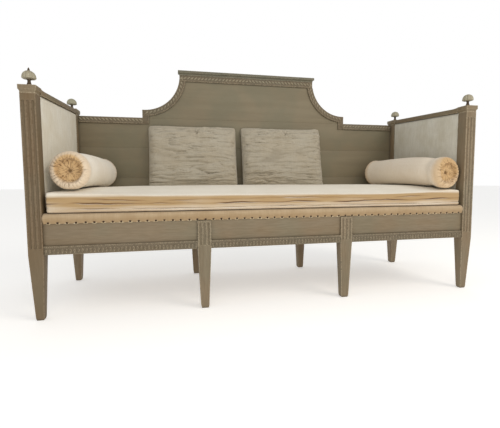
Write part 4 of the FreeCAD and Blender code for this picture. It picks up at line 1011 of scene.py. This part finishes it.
@dataclass
class Mattress:
    """Boxed mattress with a crowned top, rounded edges and three slack creases along each side."""

    stations: int = 420
    side_points: int = 56
    top_points: int = 46
    crown: float = 36.0 * MM
    edge: float = 62.0 * MM
    edge_round: float = 9 * MM
    foot_round: float = 7 * MM
    end_round: float = 12 * MM

    CROWN = ((0.0, 1.0), (0.6, 0.96), (0.91, 0.76), (0.985, 0.40), (1.0, 0.20))
    # Left to right, in mm: the corners stand higher than the slack middle, the right half sags most
    LIFT = ((-1.0, 15.0), (-0.9, 12.0), (-0.55, 3.0), (0.1, 1.0), (0.55, -3.0), (0.85, 4.0), (0.97, 9.0), (1.0, 8.0))
    SWELL = ((0.6, 0.0), (0.91, 3.0), (0.985, 6.0), (1.0, 5.0))

    def side(self, x: float, z: float, height: float, seed: float) -> tuple[float, float]:
        """How far the side stands out at a height above the bottom, and how much its creases darken there with painted
        shade and dirt.
        """
        fold = 0.19 * height + 4.0 * MM * ripple(x * 5, 0, seed) + 1.6 * MM * ripple(x * 21, 0, seed + 5)
        upper = 0.70 * height + 6.0 * MM * ripple(x * 4, 0, seed + 1) + 2.4 * MM * ripple(x * 17, 0, seed + 6)
        middle = 0.47 * height + 6.0 * MM * ripple(x * 5, 0, seed + 2) + 2.8 * MM * ripple(x * 23, 0, seed + 7)
        if z < fold:
            out = 3.0 * MM * max(0.0, math.sin(math.pi * z / fold)) ** 0.7
        else:
            out = 3.4 * MM * max(0.0, math.sin(math.pi * (z - fold) / (height - fold))) ** 0.7
        shade_and_soil = 0.0
        # Level, depth and width of each crease, how often its depth changes along the side, and how much it darkens
        # with painted shade and dirt
        for level, depth, width, run, dirt_and_shade in ((upper, 3.0 * MM, 2.6 * MM, 7.0, 0.5),
                                               (middle, 6.0 * MM, 2.3 * MM, 8.0, 1.0),
                                               (fold, 2.6 * MM, 2.0 * MM, 9.0, 0.3)):
            strength = min(1.1, max(0.05, 0.65 + 1.6 * ripple(x * run, 1, seed + dirt_and_shade * 10)))
            trough = strength * math.exp(-((z - level) / width) ** 2)
            out -= depth * trough
            shade_and_soil = max(shade_and_soil, dirt_and_shade * trough)
        out += 1.4 * MM * ripple(x * 22, z * 60, seed + 4) + 1.6 * MM * ripple(x * 7, z * 30, seed + 8)
        return out, shade_and_soil

    def section(self, x: float, low: Vector, high: Vector) -> tuple[list[Vector], list[float]]:
        """Closed outline of the mattress across its length at one station, and the dirt along it."""
        half = high.x
        share = abs(x) / half
        near_end = max(0.0, self.end_round - (half - abs(x)))
        inset = self.end_round - math.sqrt(self.end_round ** 2 - near_end ** 2)
        height = self.edge + blend_between(self.LIFT, x / half) * MM - inset * 0.5
        peak = self.edge + (self.crown * blend_between(self.CROWN, share) + blend_between(self.SWELL, share) * MM)
        crown = max(4 * MM, peak - height)
        front, back = low.y + 5 * MM + inset, high.y - 5 * MM - inset
        bottom = low.z + inset * 0.4
        edge_round, foot_round = self.edge_round, self.foot_round
        profile = []
        for step in range(self.side_points):
            z = height * (1 - math.cos(math.pi * step / (self.side_points - 1))) / 2 * 0.35 \
                + height * step / (self.side_points - 1) * 0.65
            over, under = max(0.0, z - (height - edge_round)), max(0.0, foot_round - z)
            back_in = edge_round - math.sqrt(max(0.0, edge_round ** 2 - over ** 2))
            back_in += foot_round - math.sqrt(max(0.0, foot_round ** 2 - under ** 2))
            profile.append((z, back_in))
        points, shade_and_soil_values = [], []
        for z, back_in in reversed(profile):
            out, shade_and_soil = self.side(x, z, height, 20) if share < 0.999 else (0.0, 0.0)
            points.append(Vector((x, front + back_in - out, bottom + z)))
            shade_and_soil_values.append(shade_and_soil)
        for step in range(1, 12):
            points.append(Vector((x, front + foot_round + (back - front - 2 * foot_round) * step / 12, bottom)))
            shade_and_soil_values.append(0.0)
        for z, back_in in profile:
            out, shade_and_soil = self.side(x, z, height, 40) if share < 0.999 else (0.0, 0.0)
            points.append(Vector((x, back - back_in + out, bottom + z)))
            shade_and_soil_values.append(shade_and_soil)
        for step in range(1, self.top_points):
            v = step / self.top_points
            y = back - edge_round + (front - back + 2 * edge_round) * v
            rise = crown * (1 - abs(2 * v - 1) ** 2.2)
            rise += 1.8 * MM * ripple(x * 3.2, y * 7, 51) * math.sin(math.pi * v)
            # Shallow streaks pressed into the top, darkened a little as painted shade
            streak = math.exp(-(ripple(x * 2.4, y * 26, 53) / 0.09) ** 2) * max(0.0, ripple(x * 3, y * 5, 54) + 0.35)
            rise -= 1.6 * MM * streak * math.sin(math.pi * v)
            points.append(Vector((x, y, bottom + height + rise)))
            shade_and_soil_values.append(0.12 * streak)
        return points, shade_and_soil_values

    def age(self, co: Vector, normal: Vector, bottom: float) -> float:
        """Tone of the ticking: the sides are toned darker than the top, partly yellowing and partly painted shade, and
        the top is yellowed in streaks.
        """
        rise = co.z - bottom
        side = 0.58 + 0.46 * smooth(16 * MM, 30 * MM, rise) + 0.3 * ripple(co.x * 6, co.z * 40, 7)
        side *= smooth(self.edge + 10 * MM, self.edge - 12 * MM, rise) * smooth(0.9, 0.4, normal.z)
        return side + 0.1 * smooth(0, 0.8, ripple(co.x * 3, co.y * 6, 8)) \
            + 0.08 * smooth(0.1, 0.7, ripple(co.x * 2, co.y * 60, 9))

    def build(self, cotton: bpy.types.Material) -> None:
        """Build the mattress; it lies free on the deck."""
        low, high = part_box("mattress")
        rings, shade_and_soil_values = [], []
        for step in range(self.stations):
            share = -1 + 2 * step / (self.stations - 1)
            eased_share = math.copysign(1 - (1 - abs(share)) ** 1.15, share)
            points, shade_and_soil = self.section(eased_share * high.x, low, high)
            rings.append(points)
            shade_and_soil_values += shade_and_soil
        piece = sweep("mattress_cover", rings)
        set_shade_and_soil(piece, shade_and_soil_values)
        set_tone(piece, lambda co, normal: self.age(co, normal, low.z))
        finish(piece, cotton, "mattress", ["mattress"])
        log.info("built the mattress, %d faces", len(piece.data.polygons))


@dataclass
class BackCushion:
    """Linen cushion with fine level crinkles and a pinch near the middle of its upper edge."""

    width: float = 467 * MM
    height: float = 341 * MM
    front: float = 62 * MM
    rear: float = 22 * MM
    edge: float = 8 * MM
    draw: float = 3 * MM
    tilt: float = math.radians(12)
    voxel: float = 5 * MM
    reach: float = 7 * MM
    columns: int = 64
    rows: int = 48

    # Y and Z of the middle of its lower edge
    FOOT = (220.4 * MM, 483.7 * MM)

    def form(self, name: str) -> Thing:
        """Closed crowned form about the middle of its lower edge, before it is swollen."""
        points: list[Vector] = []
        for layer, depth in ((-1, self.front), (1, self.rear)):
            for row in range(self.rows):
                v = -1 + 2 * row / (self.rows - 1)
                for column in range(self.columns):
                    u = -1 + 2 * column / (self.columns - 1)
                    full = ((1 - abs(u) ** 3.6) * (1 - abs(v) ** 3.6)) ** 0.42
                    x = u * (self.width / 2 - self.draw * (1 - v * v))
                    z = self.height / 2 + v * (self.height / 2 - self.draw * (1 - u * u))
                    corner = 7 * MM * (abs(u) * abs(v)) ** 9
                    x -= math.copysign(corner, u)
                    z -= math.copysign(corner, v)
                    y = layer * (self.edge / 2 + (depth * 0.86 - self.edge / 2) * full)
                    points.append(Vector((x, y, z)))
        return mesh_from(name, points, shell_faces(self.columns, self.rows))

    def crinkle(self, co: Vector, seed: float) -> float:
        """Height in mm of the level crinkles: rounded folds with narrow valleys between them."""
        z = co.z + (9 * ripple(co.x * 6, co.z * 5, seed) + 4 * ripple(co.x * 22, co.z * 16, seed + 8)) * MM
        broad = abs(ripple(co.x * 7, z * 40, seed + 1)) ** 0.6
        fine = abs(ripple(co.x * 17, z * 92, seed + 2)) ** 0.6
        strength = min(1.2, max(0.2, 0.7 + 1.1 * ripple(co.x * 7, co.z * 9, seed + 3)))
        return strength * (15.0 * broad + 9.0 * fine) - 9.0

    def pinch(self, co: Vector, seed: float, pinch_x: float) -> float:
        """Height of the folds that radiate from the pinch near the top of the front, from -1 to 1."""
        drop = co.z - (self.height - 44 * MM)
        away = math.hypot(co.x - pinch_x, drop * 1.3)
        turn = math.atan2(drop, co.x - pinch_x)
        uneven = 0.6 + ripple(co.x * 40, co.z * 40, seed + 6)
        rays = uneven * math.cos(turn * 4 + seed + away * 90) * math.exp(-(away / (30 * MM)) ** 2)
        return rays - 0.9 * math.exp(-(away / (8 * MM)) ** 2)

    def crumple(self, piece: Thing, seed: float, pinch_x: float) -> None:
        """Press the crinkles and the pinch into the swollen form, and darken their valleys with painted shade."""
        moves, shade_and_soil_values = [], []
        for vertex in piece.data.vertices:
            co, normal = vertex.co, vertex.normal
            face = smooth(0.2, 0.7, abs(normal.y))
            # The rear lies pressed against the boards, so it's nearly smooth
            crinkle = self.crinkle(co, seed) * face if normal.y < 0 else 0.3 * self.crinkle(co, seed + 20) * face
            folds = self.pinch(co, seed, pinch_x) * face if normal.y < 0 else 0.0
            moves.append(normal * (crinkle + 6.0 * folds) * MM)
            shade_and_soil_values.append(0.35 * smooth(-4.5, -8.5, crinkle) + 0.3 * max(0.0, -folds))
        for vertex, move in zip(piece.data.vertices, moves):
            vertex.co += move
        piece.data.update()
        set_shade_and_soil(piece, shade_and_soil_values)

    def fit(self, piece: Thing) -> None:
        """Bring the swollen form back to the cushion's width and height."""
        zs = [vertex.co.z for vertex in piece.data.vertices]
        xs = [vertex.co.x for vertex in piece.data.vertices if abs(vertex.co.z - self.height / 2) < 30 * MM]
        wide, tall = self.width / (max(xs) - min(xs)), self.height / (max(zs) - min(zs))
        middle, foot = (max(xs) + min(xs)) / 2, min(zs)
        for vertex in piece.data.vertices:
            vertex.co.x = (vertex.co.x - middle) * wide
            vertex.co.z = (vertex.co.z - foot) * tall

    def press(self, piece: Thing) -> None:
        """Flatten the rear where the cushion leans on the back boards, without reaching into them."""
        soft = 12 * MM
        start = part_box("back_board_upper")[0].y - 0.5 * MM - soft
        for vertex in piece.data.vertices:
            over = vertex.co.y - start
            if over > 0:
                vertex.co.y = start + soft * (1 - math.exp(-over / soft))
        piece.data.update()

    def build(self, name: str, middle_x: float, seed: float, pinch: float, linen: bpy.types.Material) -> None:
        """Build one cushion.

        Args:
            name: Node that it stands for.
            middle_x: X of the middle of its lower edge.
            seed: Seed of its crinkles.
            pinch: X of the pinch, from the middle.
            linen: Its material.
        """
        piece = self.form("linen_" + name)
        swell(piece, self.voxel, 4.0, self.reach)
        self.fit(piece)
        apply_modifier(piece, "SUBSURF", levels=1, render_levels=1)
        self.crumple(piece, seed, pinch)
        # Painted shade on the sides that face left, away from the key light; random yellowing over the faces
        set_tone(piece, lambda co, normal: 0.35 * smooth(-0.45, -0.85, normal.x) * smooth(0.0, 0.3, normal.y + 0.4)
                 + 0.16 * (1 + ripple(co.x * 9, co.z * 9, seed)) * smooth(0.3, 0.7, abs(normal.y)))
        place = Matrix.Translation((middle_x, *self.FOOT)) @ Matrix.Rotation(-self.tilt, 4, "X")
        piece.data.transform(place)
        self.press(piece)
        shade_smooth(piece.data)
        finish(piece, linen, name, [name])
        log.info("built %s, %d faces", name, len(piece.data.polygons))


@dataclass
class Bolster:
    """Stuffed bolster: gathered ends with two rings of puckers round a knot, a slack waist behind them.

    It lies on the crown of the mattress and sags towards its front end by the given droop.
    """

    droop: float
    turn: float
    base_tone: float
    radius: float = 74 * MM
    half: float = 273 * MM
    around: int = 240
    rim_puckers: int = 15
    disc_puckers: int = 11

    # Distance behind the end in mm and share of the radius, from the barrel to the knot
    END = ((40.0, 1.0), (30.0, 1.0), (22.0, 0.99), (15.0, 0.965), (9.0, 0.92), (4.5, 0.86), (1.6, 0.80), (0.2, 0.74),
           (0.0, 0.70), (1.0, 0.665), (4.0, 0.635), (9.0, 0.61), (13.5, 0.585), (15.5, 0.55), (15.0, 0.50),
           (14.2, 0.43), (14.0, 0.35), (14.8, 0.27), (17.0, 0.19), (20.0, 0.12), (22.0, 0.06))

    def fold(self, angle: float, count: int, drift: float, seed: float) -> float:
        """Cross-section of a row of puckers, from -0.6 in a crease to 0.4 on a fold, unevenly spaced."""
        wander = drift * (ripple(math.cos(angle) * 2.2, math.sin(angle) * 2.2, seed)
                          + 0.35 * ripple(math.cos(angle) * 7, math.sin(angle) * 7, seed + 4))
        return abs(math.cos((angle + wander) * count)) ** 0.8 - 0.6

    def pucker(self, share: float, angle: float, seed: float) -> float:
        """Height of the puckers at a share of the radius and an angle round the end."""
        rim = self.fold(angle, self.rim_puckers, 0.18, seed) * smooth(0.57, 0.66, share) * smooth(1.04, 0.86, share)
        fine = self.fold(angle, 2 * self.rim_puckers + 3, 0.1, seed + 3) * smooth(0.58, 0.68, share) \
            * smooth(0.95, 0.80, share)
        disc = self.fold(angle, self.disc_puckers, 0.3, seed + 1) * smooth(0.26, 0.42, share) \
            * smooth(0.62, 0.54, share)
        strength = 0.75 + 0.6 * ripple(math.cos(angle) * 3, math.sin(angle) * 3, seed + 2)
        lumps = ripple(math.cos(angle) * share * 13, math.sin(angle) * share * 13, seed + 12) * smooth(0.62, 0.5, share)
        return ((5.4 * rim + 2.6 * fine + 3.2 * disc) * max(0.3, strength) + 3.6 * lumps) * MM

    def barrel(self, behind: float, place: float, angle: float, seed: float) -> float:
        """How far the barrel stands out at a distance in mm behind its nearer end."""
        fade = math.exp(-max(0.0, behind - 18) / 16)
        lift = self.fold(angle, self.rim_puckers, 0.18, seed) * 3.2 * MM * fade
        waist = math.exp(-((behind - 80) / 30) ** 2) * (1.0 if place < 0 else 0.35)
        slim = smooth(34, 84, behind) if place < 0 else 1.0
        lift += (-3.6 * slim - 5.2 * waist + 1.2 * ripple(place * 9, math.cos(angle) * 1.2, seed)) * MM
        return lift + 0.5 * MM * ripple(place * 34, math.sin(angle) * 3, seed + 2)

    def ring(self, place: float, share: float, seed: float) -> list[Vector]:
        """Points round the bolster at a place along it."""
        behind = (self.half - abs(place)) / MM
        lean = smooth(0.60, 1.0, share)
        points = []
        for step in range(self.around):
            angle = 2 * math.pi * step / self.around
            if share > 0.995:
                lift = self.barrel(behind, place, angle, seed)
            else:
                lift = self.pucker(share, angle, seed)
            # On the rounded rim the puckers stand out of it; on the face they stand out of the end
            reach = self.radius * share + lift * lean
            points.append(Vector((math.cos(angle) * reach, place + math.copysign(1, place) * lift * (1 - lean),
                                  math.sin(angle) * reach)))
        return points

    def shade_and_soil(self, place: float, share: float, seed: float) -> list[float]:
        """Painted shade in the creases, the gathered ring and the middle of an end, with specks of real dirt, round the
        bolster at a place along it.
        """
        behind = (self.half - abs(place)) / MM
        values = []
        for step in range(self.around):
            angle = 2 * math.pi * step / self.around
            crease_shade_and_dirt = smooth(-0.1, -0.5, self.fold(angle, self.rim_puckers, 0.18, seed))
            crease_shade_and_dirt *= smooth(0.55, 0.64, share) * smooth(0.95, 0.78, share) * math.exp(-(behind / 16) ** 2)
            inner = smooth(-0.2, -0.5, self.fold(angle, self.disc_puckers, 0.3, seed + 1)) \
                * smooth(0.60, 0.50, share) * smooth(0.28, 0.40, share)
            across, up = math.cos(angle) * share, math.sin(angle) * share
            broken = 0.6 + 0.7 * ripple(math.cos(angle) * 5, math.sin(angle) * 5, seed + 7)
            dashes = smooth(-0.15, 0.25, ripple(across * 11, up * 11, seed + 11))
            gather = math.exp(-((share - 0.60) / 0.035) ** 2) * max(0.2, broken) * (0.35 + 0.65 * dashes)
            specks = smooth(0.12, 0.4, ripple(across * 20, up * 20, seed + 9)) * smooth(0.80, 0.62, share) * 0.75
            values.append(max(0.95 * crease_shade_and_dirt * dashes, 0.8 * inner * dashes, 0.9 * gather, specks,
                              smooth(0.16, 0.05, share)))
        return values

    def sag(self, point: Vector) -> Vector:
        """Let the ends down over the crown of the mattress, and flatten the underside."""
        along = max(0.0, -point.y / self.half)
        rear = max(0.0, point.y / self.half)
        down = self.droop * along ** 1.7 + 4 * MM * rear ** 2 + 2.5 * MM
        flat = max(0.0, -point.z - 0.94 * self.radius) * 0.6
        return Vector((point.x, point.y, point.z - down + flat))

    def build(self, name: str, side: int, cotton: bpy.types.Material, knot_cloth: bpy.types.Material) -> None:
        """Build one bolster and the knots in its ends."""
        low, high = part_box("bolster_" + name)
        centre = (low + high) / 2
        stations = [(-self.half + behind * MM, share) for behind, share in reversed(self.END)]
        stations += [(-self.half + 40 * MM + (2 * self.half - 80 * MM) * step / 90, 1.0) for step in range(1, 90)]
        stations += [(self.half - behind * MM, share) for behind, share in self.END]
        rings, shade_and_soil_values = [], []
        for place, share in stations:
            seed = 60 + side + (0 if place > 0 else 5)
            rings.append([self.sag(point) for point in self.ring(place, share, seed)])
            shade_and_soil_values += self.shade_and_soil(place, share, seed)
        piece = sweep("cotton_bolster_" + name, rings)
        set_shade_and_soil(piece, shade_and_soil_values)
        set_tone(piece, lambda co, normal: self.age(co, 60 + side))
        pose = Matrix.Translation(centre) @ Matrix.Rotation(side * math.radians(self.turn), 4, "Z")
        piece.data.transform(pose)
        finish(piece, cotton, "bolster_" + name, ["bolster_" + name])
        self.knots(name, pose, knot_cloth)
        log.info("built bolster %s", name)

    def age(self, point: Vector, seed: float) -> float:
        """How yellowed the cotton is: strongly in the gathers, hardly on the barrel."""
        behind = self.half - abs(point.y)
        reach = math.hypot(point.x, point.z) / self.radius
        rim = smooth(46 * MM, 12 * MM, behind)
        disc = smooth(0.78, 0.60, reach)
        return self.base_tone + 0.52 * rim + 0.60 * disc * rim + 0.1 * smooth(0, 0.8, ripple(point.y * 6, point.x * 9, seed))

    def knots(self, name: str, pose: Matrix, cloth: bpy.types.Material) -> None:
        """Small wound knot in the middle of each end."""
        for end_name, end in (("front", -1), ("rear", 1)):
            deselect()
            bpy.ops.mesh.primitive_torus_add(major_radius=2.6 * MM, minor_radius=1.8 * MM, major_segments=20,
                                             minor_segments=8, rotation=(math.pi / 2, 0, 0))
            knot = bpy.context.object
            knot.name = "knot_%s_%s" % (name, end_name)
            bpy.ops.object.transform_apply(location=False, rotation=True, scale=True)
            centre = self.sag(Vector((0, end * (self.half - 21 * MM), 0)))
            knot.data.transform(pose @ Matrix.Translation(centre))
            shade_smooth(knot.data)
            finish(knot, cloth, "bolster_" + name)


# Stage

@dataclass
class Studio:
    """Pale floor, soft light and the photograph's point of view."""

    eye: Vector = Vector((-0.428, -1.794, 0.516))
    yaw: float = -0.2178
    pitch: float = 0.0805
    roll: float = -0.0048
    lens: float = 26.53
    shift: tuple[float, float] = (-0.0099, -0.0055)
    daylight: float = 0.52
    floor_glow: float = 0.42

    def camera(self) -> None:
        """Put the camera where the photograph was taken from."""
        data = bpy.data.cameras.new("camera")
        data.lens = self.lens
        data.sensor_width = 36.0
        data.shift_x, data.shift_y = self.shift
        data.clip_start = 0.05
        camera = bpy.data.objects.new("camera", data)
        turn = Matrix.Rotation(self.yaw, 4, "Z") @ Matrix.Rotation(math.pi / 2 - self.pitch, 4, "X")
        camera.matrix_world = Matrix.Translation(self.eye) @ turn @ Matrix.Rotation(self.roll, 4, "Z")
        bpy.context.scene.collection.objects.link(camera)
        bpy.context.scene.camera = camera

    def light(self, name: str, place: Vector, size: float, power: float, colour: str) -> None:
        """One large soft light aimed at the middle of the sofa."""
        data = bpy.data.lights.new(name, "AREA")
        data.shape = "DISK"
        data.size = size
        data.energy = power
        data.color = linear(colour)[:3]
        lamp = bpy.data.objects.new(name, data)
        turn = (Vector((0, 0, 0.5)) - place).to_track_quat("-Z", "Y").to_matrix().to_4x4()
        lamp.matrix_world = Matrix.Translation(place) @ turn
        bpy.context.scene.collection.objects.link(lamp)

    def floor(self) -> None:
        """Wide pale floor."""
        deselect()
        bpy.ops.mesh.primitive_plane_add(size=60, location=(0, 0, -0.5 * MM))
        plane = bpy.context.object
        plane.name = "floor"
        material, tree, shader = new_material("pale_floor")
        place = add(tree, "ShaderNodeTexCoord").outputs["Object"]
        clouds = speckle(tree, place, 0.8, 2.0)
        tree.links.new(tint(tree, "#F4F3F0", clouds, 0.15, "#ECEBE7"), shader.inputs["Base Color"])
        shader.inputs["Roughness"].default_value = 0.85
        shader.inputs["Emission Color"].default_value = linear("#FFFFFF")
        shader.inputs["Emission Strength"].default_value = self.floor_glow
        plane.data.materials.append(material)

    def build(self) -> None:
        """Set up the floor, the light, the background and the camera."""
        scene = bpy.context.scene
        world = bpy.data.worlds.new("studio")
        world.use_nodes = True
        tree = world.node_tree
        # The backdrop looks white, while the light that it gives is soft
        seen = add(tree, "ShaderNodeLightPath").outputs["Is Camera Ray"]
        strength = add(tree, "ShaderNodeMapRange", {"To Min": self.daylight, "To Max": 1.0}, {"Value": seen})
        tree.links.new(strength.outputs[0], tree.nodes["Background"].inputs["Strength"])
        tree.nodes["Background"].inputs["Color"].default_value = linear("#FFFFFF")
        scene.world = world
        scene.view_settings.view_transform = "Standard"
        scene.view_settings.look = "None"
        self.floor()
        self.camera()
        self.light("key", Vector((2.3, -2.5, 3.0)), 2.2, 44, "#FFF6EA")
        self.light("fill", Vector((-0.4, -2.6, 1.7)), 1.6, 16, "#F8F6F2")
        log.info("set the stage")


def build_sofa() -> None:
    """Build every piece of the sofa in order."""
    paint = MilkPaint("milk_paint_on_birch")
    paints = {grain: paint.make(grain) for grain in Grain}
    back_paint = MilkPaint("greened_milk_paint_on_boards", coat="#82775F", thin="#746852", green="#706D58",
                           rubbed_and_highlit="#857A63", bare_share=0.15).make(Grain.ALONG_X)
    linen = WovenCloth("undyed_linen", "#ECE8DC", "#D2CCBC", "#CFC2A4", "#7A7058").make()
    # Darker copy of the arm linen for both right panels: painted shade, as the right arm's inner face is turned from
    # the key light
    shaded_linen = WovenCloth("shaded_undyed_linen", "#DFDCD0", "#C2BFB2", "#BDB49C", "#6C6452", patch_share=0.5).make()
    deck_linen = WovenCloth("undyed_deck_linen", "#C4AF90", "#A99274", "#997D58", "#4F3B24").make()
    cushion_linen = WovenCloth("crinkled_cushion_linen", "#B6AF9F", "#A29B8B", "#A8977A", "#6A5E4B",
                               patch_share=0.2).make()
    cotton = WovenCloth("washed_cotton_ticking", "#F4EEE0", "#E8DDC8", "#AA8855", "#6A431A", slub_share=0.3,
                        patch_share=0.06).make()
    bolster_cotton = WovenCloth("soft_bolster_cotton", "#F8F1E4", "#E8DDC8", "#C9A36C", "#654320", slub_share=0.35,
                                patch_share=0.08).make()
    jute = WovenCloth("jute_webbing", "#A58B5E", "#7C6440", "#8A6E45", "#4A3820", thread_mm=4.0).make()
    knot = WovenCloth("knot_cord", "#8A6E45", "#6B5230", "#7A5F38", "#3A2A16", thread_mm=1.5).make()
    iron = BlackenedIron().make()
    post_paint = MilkPaint("stained_milk_paint_on_posts", coat="#7F6F57", thin="#755A38", green="#716A55",
                           bare_share=0.5).make(Grain.ALONG_Z)
    finial_paint = MilkPaint("chalky_milk_paint_on_finials", coat="#A29B84", thin="#8C7D62", green="#97987F",
                             rubbed_and_highlit="#D2CDB8").make(Grain.ALONG_Z)
    bare_birch = MilkPaint("darkened_bare_birch", coat="#4F3F2C", thin="#3A2C1C", green="#40382A", rubbed_and_highlit="#6A5840",
                         bare="#3A2818").make(Grain.ALONG_Z)
    # Darker paint for the carved bands and beads: grime, and painted shade between the carving and on the bands' upper
    # edges
    carved_paint = MilkPaint("milk_paint_with_grime_in_the_carving", coat="#6C5F4A", thin="#64553C", green="#615B49",
                             rubbed_and_highlit="#A2937A").make(Grain.ALONG_X)
    stained_paint = MilkPaint("water_stained_milk_paint", coat="#6F5D42", thin="#6E5230", green="#6B6049",
                              rubbed_and_highlit="#94826A", bare_share=0.6).make(Grain.ALONG_Z)
    # The crest cap is painted darker than the boards
    cap_paint = MilkPaint("darker_milk_paint_on_the_crest_cap", coat="#6B6655", thin="#615A48", green="#5F5F50",
                          rubbed_and_highlit="#A39E88").make(Grain.ALONG_X)
    Joinery().build(paints, {"back_board": back_paint, "post_front_left": stained_paint, "post": post_paint,
                             "leg": post_paint, "crest_band": carved_paint, "shoulder_band": carved_paint,
                             "back_rail_band": carved_paint, "front_rail_band": carved_paint,
                             "crest_cap": cap_paint})
    for row in ("front", "rear"):
        for name in SIDES:
            node = "finial_%s_%s" % (row, name)
            low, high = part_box(node)
            bud = node == "finial_front_left"
            base = Vector(((low.x + high.x) / 2, (low.y + high.y) / 2, low.z + Finial.SPIGOT))
            piece = Finial().build("carved_" + node, base, bud)
            finish(piece, finial_paint, "frame", [node])
            piece.data.materials.append(bare_birch)
            for face in piece.data.polygons:
                height = face.center.z - base.z
                face.material_index = int(height < Finial.NECK or height > Finial.TIP and bud)
    # Lighter paint for the carved leaves: rubbed paint, and a painted highlight on their tips
    rubbed_and_highlit = MilkPaint("rubbed_milk_paint", coat="#91866F", thin="#84765D", green="#7E7A68",
                       rubbed_and_highlit="#A89C84").make(Grain.ALONG_X)
    Bands(Carving()).build(carved_paint, rubbed_and_highlit)
    fringe = WovenCloth("frayed_linen_edge", "#DACBAA", "#BCA67F", "#A98F66", "#4F3B24").make()
    SeatDeck().build(deck_linen, fringe, iron)
    ArmPanels().build({"left": linen, "right": shaded_linen})
    Webbing().build(jute)
    Mattress().build(cotton)
    BackCushion().build("cushion_left", -315 * MM, 3.0, 20 * MM, cushion_linen)
    BackCushion().build("cushion_right", 186 * MM, 4.0, 15 * MM, cushion_linen)
    # The right bolster is toned a little darker all over
    for name, droop, turn, base_tone in (("left", 7 * MM, 2.8, 0.0), ("right", 16 * MM, 7.5, 0.28)):
        Bolster(droop, turn, base_tone).build(name, SIDES[name], bolster_cotton, knot)


def main() -> None:
    """Build the stage and the sofa."""
    Studio().build()
    build_sofa()


if __name__ == "__main__":
    main()
